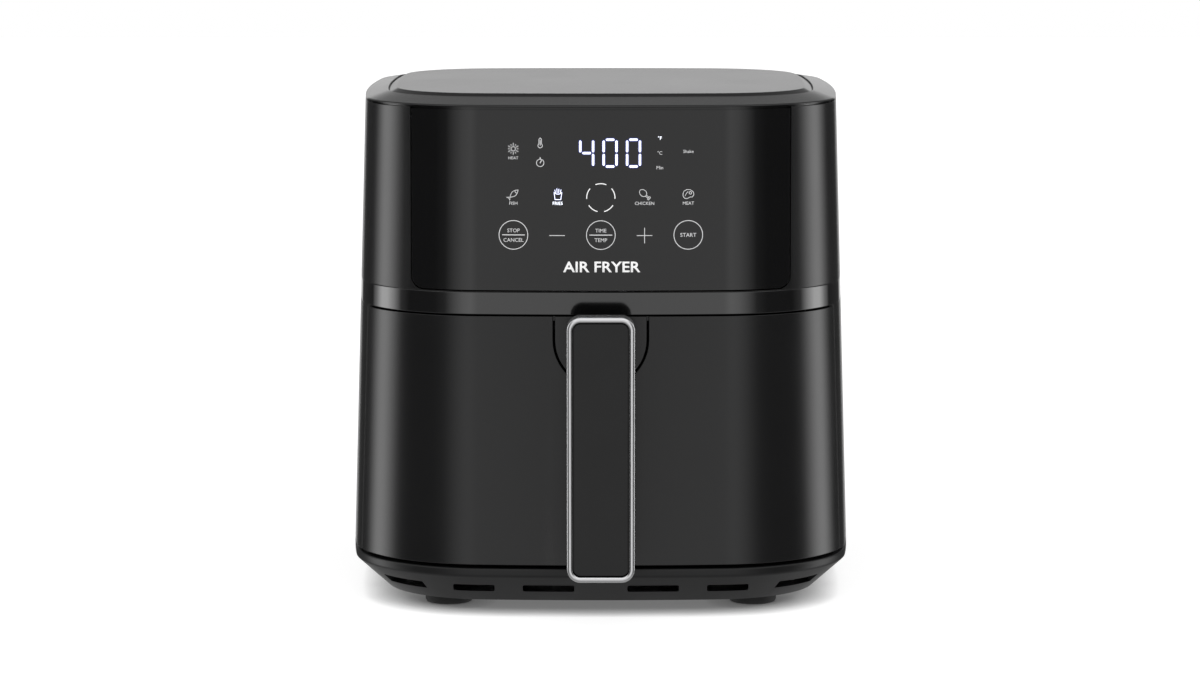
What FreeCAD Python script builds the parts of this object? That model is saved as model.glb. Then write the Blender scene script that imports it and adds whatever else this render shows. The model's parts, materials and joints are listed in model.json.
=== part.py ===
import FreeCAD, Part
import math
import os
from FreeCAD import Vector

# A family-size basket air fryer, in millimetres. +Z is up, the front faces -Y,
# and the origin is on the floor under the middle of the whole object.

# ---------------------------------------------------------------- overall sizes
HALF_WIDTH = 155.0        # body at the base seam, and the widest line
HALF_DEPTH = 168.0
CORNER_R = 84.0           # plan corners
FRONT_BOW_R = 970.0       # the front and rear faces bow gently
SIDE_BOW_R = 1010.0
TAPER = 0.030             # the walls lean in, per millimetre of height
HANDLE_REACH = 50.0       # handle face in front of the body
REAR_REACH = 12.0         # exhaust box behind the body
BODY_Y = (HANDLE_REACH - REAR_REACH) / 2

# ---------------------------------------------------------------- levels
FOOT_H = 7.0
PLINTH_H = 23.2
LIP_H = 5.0
SEAM_GAP = 2.0
LOWER_H = 150.8
BAND_H = 13.3
UPPER_H = 109.4
LID_RISE = 6.4
SEAM_Z = FOOT_H + PLINTH_H
SHELL_Z = SEAM_Z + SEAM_GAP
BAND_Z = SHELL_Z + LOWER_H
UPPER_Z = BAND_Z + BAND_H
SHOULDER_Z = UPPER_Z + UPPER_H
LID_TOP = SHOULDER_Z + LID_RISE

# ---------------------------------------------------------------- walls and gaps
WALL = 2.6                # moulded shells
BAND_WALL = 3.0
PLINTH_WALL = 3.7
SHEET = 1.0               # metal sheet
REVEAL = 1.0              # visible gap between a moving and a fixed piece
CLEAR = 0.3               # free gap between pieces that pass each other
SLOT_CLEAR = 0.2          # flat guides and inserts

# ---------------------------------------------------------------- plinth
CHAMFER_IN = 20.0
DECK_T = 2.6
FOOT_R = 14.5
FOOT_SPIGOT_R = 4.0
FOOT_X = 93.0
FOOT_Y = 110.0            # from the body's middle
VENT_H = 4.8
VENT_Z = 14.0
VENT_SPANS = ((16.0, 47.0), (64.0, 89.0))
CORNER_VENT_DEG = 26.0
LINER_PAD_R = 8.0

# ---------------------------------------------------------------- lid and panel
LID_HALF_W = 131.8
LID_HALF_D = 126.0
LID_CORNER_R = 62.0
LID_CHAMFER = 4.7
LID_CHAMFER_H = 2.3
LID_T = 3.8
LID_GROOVE = 0.6
SHOULDER_GAP = 0.8
SHOULDER_DROP = 4.6       # rounded outer edge of the top cover
SKIRT_H = 6.0
PANEL_HALF_W = 113.0
PANEL_CORNER_R = 7.0
PANEL_GAP = 0.8
PANEL_UP = 0.5            # window's lower edge above the band
BEZEL_T = 2.4
BOARD_FRONT = 15.0        # display board behind the panel's outer face
BOARD_T = 1.6
BOARD_HALF_W = 76.0
BUTTON_COLUMNS = (-52.0, -26.0, 0.0, 26.0, 52.0)
BUTTON_Z = UPPER_Z + 34.4
PRESET_Z = BUTTON_Z + 23.8
DIGITS_Z = PRESET_Z + 16.1
DIGITS_HALF_W = 23.5
DIGITS_X = 6.4
DIGITS_H = 24.0

# ---------------------------------------------------------------- drawer and handle
SPLIT_FROM_FRONT = 58.0   # the drawer front's wrap round the corners
DRAWER_WALL = 2.8
PANEL_T = 3.0             # inner panel of the drawer
BOSS_HALF_W = 28.0
BOSS_ARC_Z = BAND_Z - 15.0
BOSS_GROOVE = 1.2
HANDLE_HALF_W = 20.0
HANDLE_Z0 = SHELL_Z - 1.2
HANDLE_H = 157.2
HANDLE_R = 8.0
HANDLE_T = 17.0
TRIM_W = 3.3
TRIM_DEPTH = 12.0
TRIM_BEVEL = 1.4
ARM_HALF_W = 15.0

# ---------------------------------------------------------------- cavity and basket
BASKET_HALF_W = 118.0     # at the rim
BASKET_HALF_D = 115.0
BASKET_DRAFT = 5.0
BASKET_R = 40.0
BASKET_H = 130.0
BASKET_T = 1.2
RIM_W = 4.5
RIM_T = 1.5
LINER_SIDE_GAP = 6.0
LINER_FLOOR_GAP = 7.0
LINER_UP = 6.4            # the liner's floor above the plinth deck
TRAY_UP = 13.0
TRAY_T = 1.5
TRAY_EDGE_GAP = 3.0
TRAY_HOLE_R = 3.6
TRAY_PITCH = 17.0
FINGER_HALF_W = 16.0
FINGER_HALF_D = 9.0

# ---------------------------------------------------------------- heater and fan
FRAME_T = 4.0
CHAMBER_R = 115.0
CHAMBER_H = 35.0
CHAMBER_FLANGE = 9.0
ELEMENT_R = 3.2
ELEMENT_GAP = 15.0        # from the heating element to the chamber wall
ELEMENT_OUTER = CHAMBER_R - ELEMENT_GAP
ELEMENT_PITCH = 13.0
ELEMENT_UP = 11.0
BEND_R = 8.0
GUARD_T = 2.0
GUARD_BAR = 2.4
SHAFT_R = 3.0
BEARING_FIT = 0.05        # radial running fit
AIR_FAN_R = 64.0
AIR_FAN_H = 10.0
COOL_FAN_R = 50.0
COOL_FAN_H = 12.0
STATOR_H = 20.0
ROTOR_R = 15.0
AIR_GAP = 0.5
MOTOR_UP = 11.0
SHROUD_R = 60.0
SHROUD_T = 2.0
SHROUD_H = 22.0
DUCT_HALF_W = 45.0
SCREW_R = 1.5
SCREW_HEAD_R = 3.0
SCREW_HEAD_H = 2.0

# ---------------------------------------------------------------- rear
REAR_PANEL_HALF_W = 84.0
GRILLE_HALF_W = 72.0
GRILLE_H = 66.0
GRILLE_R = 8.0
LOUVRE_PITCH = 7.0
LOUVRE_GAP = 3.6
CORD_BORE_R = 3.6
GLAND_R = 9.0
GLAND_FLANGE_R = 12.0
GLAND_FLANGE_T = 3.0
GLAND_INSIDE = 8.0
CORD_X = 62.0
CORD_Z = SHELL_Z + 27.0

# ---------------------------------------------------------------- small parts
BASE_SCREW_X = 118.0
BASE_SCREW_Y = 92.0       # from the body's middle
PAD_X = 90.0
PAD_Y = 85.0              # from the basket's middle
SWITCH_IN = 3.2           # door switch, in from the drawer's side wall
SWITCH_DROP = 35.0        # below the band
BRACKET_LEG_X = 58.0
BRACKET_HALF_D = 14.0
STACK_HALF_W = 28.0       # motor lamination stack
STACK_HALF_D = 24.0
PILLAR_X = 24.0
PILLAR_Y = 10.0
SPACER_R = 3.2
BOARD_HALF = 55.0         # power board
BOARD_FORWARD = 97.0      # its front edge, ahead of the basket's middle
BOARD_DEPTH = 33.0
PLUG_T = 6.0              # handle's plug and flange behind the drawer's face
DRAWER_SCREW_X = 70.0
DRAWER_SCREW_IN = 25.0

# ---------------------------------------------------------------- derived places
FRONT_Y = BODY_Y - HALF_DEPTH
REAR_Y = BODY_Y + HALF_DEPTH
SPLIT_Y = FRONT_Y + SPLIT_FROM_FRONT
DRAWER_Z1 = BAND_Z - REVEAL
INNER_PANEL_Y = SPLIT_Y - REVEAL - PANEL_T - 3.5
BASKET_FRONT_Y = INNER_PANEL_Y + PANEL_T + 2.0
BASKET_Y = BASKET_FRONT_Y + BASKET_HALF_D
DECK_Z = SEAM_Z - 3.0
DECK_TOP = DECK_Z + DECK_T
LINER_Z = DECK_TOP + LINER_UP
BASKET_Z = LINER_Z + SHEET + LINER_FLOOR_GAP
BASKET_TOP = BASKET_Z + BASKET_H
FRAME_Z = BAND_Z + 3.0
FRAME_TOP = FRAME_Z + FRAME_T
LINER_HALF_W = BASKET_HALF_W + LINER_SIDE_GAP
LINER_REAR = BASKET_Y + BASKET_HALF_D + LINER_SIDE_GAP + 2.0
CHAMBER_TOP = FRAME_TOP + CHAMBER_H
ELEMENT_Z = FRAME_TOP + ELEMENT_UP
AIR_FAN_Z = CHAMBER_TOP - SHEET - 3.0
BRACKET_Z = CHAMBER_TOP + MOTOR_UP
STATOR_Z = BRACKET_Z + 5.0
END_PLATE_Z = STATOR_Z + STATOR_H + 2.0
COOL_FAN_Z = END_PLATE_Z + 9.0
SHROUD_Z = END_PLATE_Z + 5.0
BOARD_Y = FRONT_Y + TAPER * (SHOULDER_Z - SEAM_Z) + BOARD_FRONT
HANDLE_FRONT = FRONT_Y - HANDLE_REACH
HANDLE_Z1 = HANDLE_Z0 + HANDLE_H
FOOT_PLACES = [(sx * FOOT_X, BODY_Y + sy * FOOT_Y) for sy in (-1, 1) for sx in (-1, 1)]
BASE_SCREWS = [(sx * BASE_SCREW_X, BODY_Y + sy * BASE_SCREW_Y) for sy in (-1, 1) for sx in (-1, 1)]
PAD_PLACES = [(sx * PAD_X, BASKET_Y + sy * PAD_Y) for sy in (-1, 1) for sx in (-1, 1)]
GRILLE_Z = UPPER_Z + 26.0
GRILLE_SCREWS = [(sx * (GRILLE_HALF_W - 6), z) for sx in (-1, 1)
                 for z in (GRILLE_Z + 6, GRILLE_Z + GRILLE_H - 6)]
SWITCH_Z = BAND_Z - SWITCH_DROP
SWITCH_FRONT = SPLIT_Y + REVEAL / 2 + 1.5 + PANEL_T + 4.0
CHAMBER_SCREWS = [((CHAMBER_R + 4.5) * math.cos(math.radians(a)),
                   BASKET_Y + (CHAMBER_R + 4.5) * math.sin(math.radians(a))) for a in (45, 135, 225, 315)]
SHROUD_POSTS = [((SHROUD_R - 3) * math.cos(math.radians(a)),
                 BASKET_Y + (SHROUD_R - 3) * math.sin(math.radians(a))) for a in (50, 130, 230, 310)]
SENSOR_Z = FRAME_TOP + 6.0
BOARD_Y0 = BASKET_Y - BOARD_FORWARD
BOARD_Y1 = BOARD_Y0 + BOARD_DEPTH
POWER_Z = CHAMBER_TOP + 14.0
POWER_POSTS = [(sx * (BOARD_HALF - 6), y) for sx in (-1, 1) for y in (BOARD_Y0 + 12, BOARD_Y1 - 5)]
DRAWER_SCREWS = [(sx * DRAWER_SCREW_X, z) for sx in (-1, 1)
                 for z in (SHELL_Z + DRAWER_SCREW_IN, DRAWER_Z1 - DRAWER_SCREW_IN)]
HANDLE_SCREWS_Z = (BOSS_ARC_Z - 8, BOSS_ARC_Z + 6)
PLUG_WALL = DRAWER_WALL + 1.0
GRIP_BACK = HANDLE_FRONT + HANDLE_T
UP = Vector(0, 0, 1)
BACK = Vector(0, 1, 0)


# ================================================================ shape helpers
def corner_centre(half_w, half_d, corner_r):
    """Centre of a bowed plan's rear right corner arc, from its middle."""
    bow_y = half_d - FRONT_BOW_R
    bow_x = half_w - SIDE_BOW_R
    reach_f = FRONT_BOW_R - corner_r
    reach_s = SIDE_BOW_R - corner_r
    span = math.hypot(bow_x, bow_y)
    along = (reach_f ** 2 - reach_s ** 2 + span ** 2) / (2 * span)
    across = math.sqrt(reach_f ** 2 - along ** 2)
    ux = bow_x / span
    uy = -bow_y / span
    return ux * along + uy * across, bow_y + uy * along - ux * across


CORNER_X, CORNER_Y = corner_centre(HALF_WIDTH, HALF_DEPTH, CORNER_R)
LID_CX, LID_CY = corner_centre(LID_HALF_W, LID_HALF_D, LID_CORNER_R)


def eight_arcs(half_w, half_d, corner_r, bow_f, bow_s, cx, cy, z, mid_y):
    """Closed outline of four bowed sides and four corner arcs."""
    front_c = (0.0, half_d - bow_f)
    side_c = (half_w - bow_s, 0.0)
    quarter = []
    for centre, bow in ((front_c, bow_f), (side_c, bow_s)):
        length = math.hypot(cx - centre[0], cy - centre[1])
        quarter.append((centre[0] + (cx - centre[0]) / length * bow,
                        centre[1] + (cy - centre[1]) / length * bow))
    (fx, fy), (sx, sy) = quarter
    mid = math.atan2((fy - cy) + (sy - cy), (fx - cx) + (sx - cx))
    mx = cx + corner_r * math.cos(mid)
    my = cy + corner_r * math.sin(mid)

    def point(x, y):
        return Vector(x, y + mid_y, z)

    arcs = [(point(-fx, -fy), point(0, -half_d), point(fx, -fy)),
            (point(fx, -fy), point(mx, -my), point(sx, -sy)),
            (point(sx, -sy), point(half_w, 0), point(sx, sy)),
            (point(sx, sy), point(mx, my), point(fx, fy)),
            (point(fx, fy), point(0, half_d), point(-fx, fy)),
            (point(-fx, fy), point(-mx, my), point(-sx, sy)),
            (point(-sx, sy), point(-half_w, 0), point(-sx, -sy)),
            (point(-sx, -sy), point(-mx, -my), point(-fx, -fy))]
    return Part.Wire([Part.Arc(*arc).toShape() for arc in arcs])


def inset_at(z, inset):
    return inset + TAPER * max(z - SEAM_Z, 0.0)


def body_outline(z, inset=0.0):
    """The body's plan at height z, moved in by inset."""
    d = inset_at(z, inset)
    return eight_arcs(HALF_WIDTH - d, HALF_DEPTH - d, CORNER_R - d, FRONT_BOW_R - d,
                      SIDE_BOW_R - d, CORNER_X, CORNER_Y, z, BODY_Y)


def slab(z0, z1, inset0=0.0, inset1=None):
    """Solid of the body's plan from z0 to z1."""
    inset1 = inset0 if inset1 is None else inset1
    return Part.makeLoft([body_outline(z0, inset0), body_outline(z1, inset1)], True, True)


def wall_ring(z0, z1, outer, inner):
    return slab(z0, z1, outer).cut(slab(z0 - 1, z1 + 1, inner))


def front_y(x, z, inset=0.0):
    """Y of the body's front face at x and z, moved in by inset."""
    d = inset_at(z, inset)
    reach_x = CORNER_X * FRONT_BOW_R / (FRONT_BOW_R - CORNER_R)
    if abs(x) <= reach_x:
        return FRONT_Y + FRONT_BOW_R - math.sqrt((FRONT_BOW_R - d) ** 2 - x ** 2)
    return BODY_Y - CORNER_Y - math.sqrt((CORNER_R - d) ** 2 - (abs(x) - CORNER_X) ** 2)


def side_x(y, z, inset=0.0):
    """X of the body's right side at y and z, moved in by inset."""
    d = inset_at(z, inset)
    dy = abs(y - BODY_Y)
    reach_y = CORNER_Y * SIDE_BOW_R / (SIDE_BOW_R - CORNER_R)
    if dy <= reach_y:
        return HALF_WIDTH - SIDE_BOW_R + math.sqrt((SIDE_BOW_R - d) ** 2 - dy ** 2)
    return CORNER_X + math.sqrt((CORNER_R - d) ** 2 - (dy - CORNER_Y) ** 2)


SWITCH_X = side_x(INNER_PANEL_Y, SWITCH_Z, DRAWER_WALL) - SWITCH_IN


def box(x0, x1, y0, y1, z0, z1):
    return Part.makeBox(x1 - x0, y1 - y0, z1 - z0, Vector(x0, y0, z0))


def rod(x, y, z, r, h, axis=UP):
    return Part.makeCylinder(r, h, Vector(x, y, z), axis)


def tube(x, y, z, r_out, r_in, h, axis=UP):
    return rod(x, y, z, r_out, h, axis).cut(rod(x, y, z, r_in, h, axis))


def fuse(first, *others):
    """One solid from touching or crossing shapes."""
    return first.multiFuse(list(others)).removeSplitter()


def cut(body, *tools):
    return body.cut(Part.makeCompound(list(tools))) if tools else body


def rounded_wire(half_u, v0, v1, r, place):
    """Rounded rectangle from -half_u to half_u and v0 to v1; place maps (u, v) to a point."""
    k = r * (1 - math.sqrt(0.5))
    lines = [((-half_u + r, v0), (half_u - r, v0)), ((half_u, v0 + r), (half_u, v1 - r)),
             ((half_u - r, v1), (-half_u + r, v1)), ((-half_u, v1 - r), (-half_u, v0 + r))]
    mids = [(half_u - k, v0 + k), (half_u - k, v1 - k), (-half_u + k, v1 - k), (-half_u + k, v0 + k)]
    edges = []
    for i, (start, end) in enumerate(lines):
        following = lines[(i + 1) % 4][0]
        edges.append(Part.LineSegment(place(*start), place(*end)).toShape())
        edges.append(Part.Arc(place(*end), place(*mids[i]), place(*following)).toShape())
    return Part.Wire(edges)


def plan_prism(half_x, y0, y1, r, z0, z1, half_x1=None, y0_top=None, y1_top=None):
    """Rounded rectangle in plan, from z0 to z1, straight or drafted."""
    half_x1 = half_x if half_x1 is None else half_x1
    y0_top = y0 if y0_top is None else y0_top
    y1_top = y1 if y1_top is None else y1_top
    low = rounded_wire(half_x, y0, y1, r, lambda u, v: Vector(u, v, z0))
    high = rounded_wire(half_x1, y0_top, y1_top, r, lambda u, v: Vector(u, v, z1))
    return Part.makeLoft([low, high], True, True)


def face_prism(half_x, z0, z1, r, y0, y1):
    """Rounded rectangle in the front view, from y0 to y1."""
    wire = rounded_wire(half_x, z0, z1, r, lambda u, v: Vector(u, y0, v))
    return Part.Face(wire).extrude(Vector(0, y1 - y0, 0))


def u_prism(half_w, arc_z, z1, y0, y1):
    """U-shaped prism: a half circle at the bottom, straight sides up to z1."""
    corners = [Vector(-half_w, y0, arc_z), Vector(0, y0, arc_z - half_w), Vector(half_w, y0, arc_z),
               Vector(half_w, y0, z1), Vector(-half_w, y0, z1)]
    edges = [Part.Arc(*corners[:3]).toShape()]
    for start, end in zip(corners[2:], corners[3:] + corners[:1]):
        edges.append(Part.LineSegment(start, end).toShape())
    return Part.Face(Part.Wire(edges)).extrude(Vector(0, y1 - y0, 0))


def screw(x, y, z, length, axis=UP):
    """Pan-head screw: its head starts at the point and its shank runs along axis."""
    head = rod(x, y, z, SCREW_HEAD_R, SCREW_HEAD_H, axis)
    return fuse(head, rod(x, y, z, SCREW_R, SCREW_HEAD_H + length, axis))


screw_groups = {}


def add_screws(group, *screws):
    """Fasteners of one kind share a node, so they are kept until the end."""
    screw_groups.setdefault(group, []).extend(screws)


def save(name, *shapes):
    """Write one node; each solid in it is closed and valid."""
    solids = [solid for shape in shapes for solid in shape.Solids]
    for solid in solids:
        if not solid.isValid() or solid.Volume <= 0:
            raise ValueError(name + " has a bad solid")
    node = solids[0] if len(solids) == 1 else Part.makeCompound(solids)
    node.exportStep("parts/" + name + ".step")
    print(name, len(solids), round(sum(solid.Volume for solid in solids) / 1000, 2))


# ================================================================ plinth and shells


def make_base_pan():
    lip_z = SEAM_Z - LIP_H
    outer = fuse(Part.makeLoft([body_outline(FOOT_H, CHAMFER_IN), body_outline(lip_z)], True, True),
                 slab(lip_z, SEAM_Z))
    floor_z = FOOT_H + WALL
    slope = CHAMFER_IN / (PLINTH_H - LIP_H)
    low_inset = CHAMFER_IN - WALL * slope + PLINTH_WALL
    inner = fuse(Part.makeLoft([body_outline(floor_z, low_inset), body_outline(lip_z, PLINTH_WALL)],
                               True, True), slab(lip_z, SEAM_Z, PLINTH_WALL))
    pan = outer.cut(inner)
    reach = HALF_DEPTH + 10
    vents = []
    for near, far in VENT_SPANS:
        for x0, x1 in ((near, far), (-far, -near)):
            vents.append(box(x0, x1, BODY_Y - reach, BODY_Y + reach, VENT_Z, VENT_Z + VENT_H))
            vents.append(box(-reach, reach, BODY_Y + x0, BODY_Y + x1, VENT_Z, VENT_Z + VENT_H))
    for index in range(4):
        wedge = Part.makeCylinder(CORNER_R + 5, VENT_H, Vector(0, 0, VENT_Z), UP, CORNER_VENT_DEG)
        wedge = wedge.cut(rod(0, 0, VENT_Z, CORNER_R - 40, VENT_H))
        wedge.rotate(Vector(0, 0, 0), UP, 90 * index + 45 - CORNER_VENT_DEG / 2)
        sx = 1 if index in (0, 3) else -1
        sy = 1 if index in (0, 1) else -1
        wedge.translate(Vector(sx * CORNER_X, BODY_Y + sy * CORNER_Y, 0))
        vents.append(wedge)
    pan = cut(pan, *vents)
    bosses = [rod(x, y, floor_z, 4.5, DECK_Z - floor_z) for x, y in BASE_SCREWS]
    holes = [rod(x, y, FOOT_H, SCREW_R, DECK_Z) for x, y in BASE_SCREWS]
    holes += [rod(x, y, FOOT_H, SCREW_HEAD_R, SCREW_HEAD_H) for x, y in BASE_SCREWS]
    holes += [rod(x, y, FOOT_H, FOOT_SPIGOT_R, WALL) for x, y in FOOT_PLACES]
    save("base_pan", cut(fuse(pan, *bosses), *holes))
    feet = []
    for x, y in FOOT_PLACES:
        pad = rod(x, y, 0, FOOT_R, FOOT_H)
        pad = pad.makeFillet(2.0, [pad.Edges[0]])
        feet.append(fuse(pad, rod(x, y, FOOT_H, FOOT_SPIGOT_R, WALL), rod(x, y, FOOT_H + WALL, 6.0, 1.6)))
    save("rubber_feet", *feet)
    length = DECK_TOP - FOOT_H - SCREW_HEAD_H
    add_screws("housing_screws", *[screw(x, y, FOOT_H, length) for x, y in BASE_SCREWS])


def make_base_deck():
    deck = slab(DECK_Z, DECK_TOP, PLINTH_WALL)
    ledge = wall_ring(DECK_TOP, SHELL_Z, PLINTH_WALL, PLINTH_WALL + 4)
    ledge = ledge.cut(box(-200, 200, -300, SPLIT_Y + REVEAL / 2, 0, 100))
    pads = [rod(x, y, DECK_TOP, LINER_PAD_R, LINER_UP) for x, y in PAD_PLACES]
    holes = [rod(x, y, DECK_Z, SCREW_R, DECK_T) for x, y in BASE_SCREWS]
    shell_tabs = wall_ring(DECK_TOP, SHELL_Z + 5, WALL + 0.05, WALL + 3)
    shell_tabs = shell_tabs.cut(wall_ring(DECK_TOP - 1, SHELL_Z, 0, PLINTH_WALL))
    shell_tabs = shell_tabs.cut(box(-200, 200, -300, SPLIT_Y + 8, 0, 100))
    save("base_deck", cut(fuse(deck, ledge, shell_tabs, *pads), *holes))


def make_lower_shell():
    shell = wall_ring(SHELL_Z, BAND_Z, 0, WALL)
    shell = shell.cut(box(-200, 200, -300, SPLIT_Y + REVEAL / 2, 0, 400))
    gland_y = REAR_Y - 30
    seam = box(-REAR_PANEL_HALF_W - SLOT_CLEAR, REAR_PANEL_HALF_W + SLOT_CLEAR, BODY_Y, REAR_Y + 9, 0, 400)
    save("side_shells", shell.cut(seam))
    panel = shell.common(box(-REAR_PANEL_HALF_W, REAR_PANEL_HALF_W, BODY_Y, REAR_Y + 9, 0, 400))
    save("rear_panel", panel.cut(rod(CORD_X, gland_y, CORD_Z, GLAND_R, 60, BACK)))
    face = REAR_Y - inset_at(CORD_Z, 0) - (CORD_X ** 2) / (2 * FRONT_BOW_R)
    flange = rod(CORD_X, face - 4, CORD_Z, GLAND_FLANGE_R, GLAND_FLANGE_T + 4, BACK)
    flange = flange.cut(slab(SEAM_Z, BAND_Z))
    length = GLAND_INSIDE + WALL + 4
    body = rod(CORD_X, face - GLAND_INSIDE, CORD_Z, GLAND_R, length, BACK)
    gland = fuse(flange, body)
    bore = rod(CORD_X, face - GLAND_INSIDE - 1, CORD_Z, CORD_BORE_R, length + 20, BACK)
    save("cord_gland", gland.cut(bore))
    print("cord gland runs from y", face - GLAND_INSIDE, "to", gland.BoundBox.YMax)


def make_front_frame():
    y0 = SPLIT_Y + REVEAL / 2 + 1.5
    plate = slab(SHELL_Z + 0.2, BAND_Z, WALL).common(box(-200, 200, y0, y0 + PANEL_T, 0, 400))
    opening = box(-LINER_HALF_W - SHEET, LINER_HALF_W + SHEET, y0 - 1, y0 + 9, LINER_Z, BAND_Z + 9)
    slot = box(SWITCH_X - 3.5, SWITCH_X + 3.5, y0 - 1, y0 + 9, SWITCH_Z - 4.5, SWITCH_Z + 4.5)
    tabs = wall_ring(SHELL_Z + 0.2, SHELL_Z + 5.2, WALL, WALL + 3)
    save("front_frame", cut(plate, opening, slot, tabs, box(-200, 200, y0 - 1, y0 + 9, 0, SHELL_Z + 0.2)))


def make_band():
    save("accent_band", wall_ring(BAND_Z, UPPER_Z, 0, BAND_WALL))


def panel_window(half_w, z0, z1, r):
    """Cutter for the control panel's outline: round bottom corners, open at the top."""
    return face_prism(half_w, z0, z1 + 2 * r, r, FRONT_Y - 20, BODY_Y - 60).common(
        box(-200, 200, -300, 200, z0 - 1, z1))


def make_upper_shell():
    shell = wall_ring(UPPER_Z, SHOULDER_Z, 0, WALL)
    window = panel_window(PANEL_HALF_W + PANEL_GAP, UPPER_Z + PANEL_UP, SHOULDER_Z + 1,
                          PANEL_CORNER_R + PANEL_GAP)
    inner_hole = face_prism(GRILLE_HALF_W - 4, GRILLE_Z + 4, GRILLE_Z + GRILLE_H - 4, GRILLE_R - 3,
                            REAR_Y - 40, REAR_Y + 30)
    holes = [rod(x, REAR_Y - 40, z, SCREW_R, 60, BACK) for x, z in GRILLE_SCREWS]
    save("upper_shell", cut(shell, window, inner_hole, *holes))


def make_control_panel():
    lens = wall_ring(UPPER_Z, SHOULDER_Z, 0, WALL)
    lens = lens.common(panel_window(PANEL_HALF_W, UPPER_Z + PANEL_UP + PANEL_GAP, SHOULDER_Z - PANEL_GAP,
                                    PANEL_CORNER_R))
    save("control_panel", lens)
    top = SHOULDER_Z - SKIRT_H
    bezel = wall_ring(UPPER_Z + 3, top, WALL, WALL + BEZEL_T)
    bezel = bezel.common(box(-PANEL_HALF_W - 8, PANEL_HALF_W + 8, -300, BODY_Y - 60, 0, 400))
    bezel = bezel.cut(box(-68, 68, -300, 0, UPPER_Z + 8, top - 4))
    posts = []
    holes = []
    for x in (-BOARD_HALF_W + 4, BOARD_HALF_W - 4):
        for z in (UPPER_Z + 14, top - 10):
            start = front_y(x, z, WALL + BEZEL_T / 2)
            posts.append(rod(x, start, z, 3.4, BOARD_Y - start, BACK))
            holes.append(rod(x, BOARD_Y - 6, z, SCREW_R, 12, BACK))
    save("panel_bezel", cut(fuse(bezel, *posts), *holes))
    board = box(-BOARD_HALF_W, BOARD_HALF_W, BOARD_Y, BOARD_Y + BOARD_T, UPPER_Z + 8, top - 4)
    save("display_board", cut(board, *holes))
    heads = []
    for x in (-BOARD_HALF_W + 4, BOARD_HALF_W - 4):
        for z in (UPPER_Z + 14, top - 10):
            back = BOARD_Y + BOARD_T + SCREW_HEAD_H
            heads.append(screw(x, back, z, BOARD_T + 6, Vector(0, -1, 0)))
    add_screws("board_screws", *heads)
    module_front = front_y(DIGITS_X + DIGITS_HALF_W, DIGITS_Z + DIGITS_H, WALL) + 0.6
    save("digit_display", box(DIGITS_X - DIGITS_HALF_W, DIGITS_X + DIGITS_HALF_W, module_front, BOARD_Y,
                              DIGITS_Z - 3, DIGITS_Z - 3 + DIGITS_H))
    springs = []
    rows = ((BUTTON_Z, BUTTON_COLUMNS), (PRESET_Z, BUTTON_COLUMNS), (DIGITS_Z + 11, BUTTON_COLUMNS[:1]))
    for z, columns in rows:
        for x in columns:
            tip = front_y(x, z + 4, WALL) + 0.3
            springs.append(tube(x, tip, z, 3.4, 2.4, BOARD_Y - tip, BACK))
    save("touch_springs", *springs)
    guide = box(-60, 60, BOARD_Y - 5, BOARD_Y, UPPER_Z + 22, PRESET_Z + 12)
    guide = cut(guide, *[rod(x, BOARD_Y - 9, z, 4.2, 12, BACK) for z in (BUTTON_Z, PRESET_Z)
                         for x in BUTTON_COLUMNS])
    save("light_guide", guide)


def lid_outline(z, grow):
    return eight_arcs(LID_HALF_W + grow, LID_HALF_D + grow, LID_CORNER_R + grow, FRONT_BOW_R + grow,
                      SIDE_BOW_R + grow, LID_CX, LID_CY, z, BODY_Y)


def lid_slab(z0, z1, grow0, grow1):
    return Part.makeLoft([lid_outline(z0, grow0), lid_outline(z1, grow1)], True, True)


def make_top():
    z0 = SHOULDER_Z + SHOULDER_GAP
    lid_z = LID_TOP - LID_T
    lip_z = lid_z + 2.6
    steps = 6
    layers = []
    previous = (0.0, z0)
    for i in range(1, steps + 1):
        turn = math.radians(90 * i / steps)
        here = (SHOULDER_DROP * (1 - math.cos(turn)), z0 + 0.8 + (lip_z - 1.2 - z0 - 0.8) * math.sin(turn))
        layers.append(slab(previous[1], here[1], previous[0], here[0]))
        previous = here
    edges = [body_outline(previous[1], previous[0]), lid_outline(lip_z, LID_GROOVE)]
    crown = Part.makeLoft(edges, True, True)
    pocket = lid_slab(lid_z, lip_z + 5, LID_GROOVE, LID_GROOVE)
    hollow = slab(z0 - 1, lid_z - WALL, 2 * WALL)
    skirt = wall_ring(SHOULDER_Z - SKIRT_H, z0, WALL, 2 * WALL)
    cover = fuse(layers[0], *layers[1:], crown).cut(pocket).cut(hollow)
    save("top_cover", fuse(cover, skirt))
    chamfer_z = LID_TOP - LID_CHAMFER_H
    lid = fuse(lid_slab(lid_z, chamfer_z, 0, 0), lid_slab(chamfer_z, LID_TOP, 0, -LID_CHAMFER))
    save("lid_panel", lid)


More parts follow.
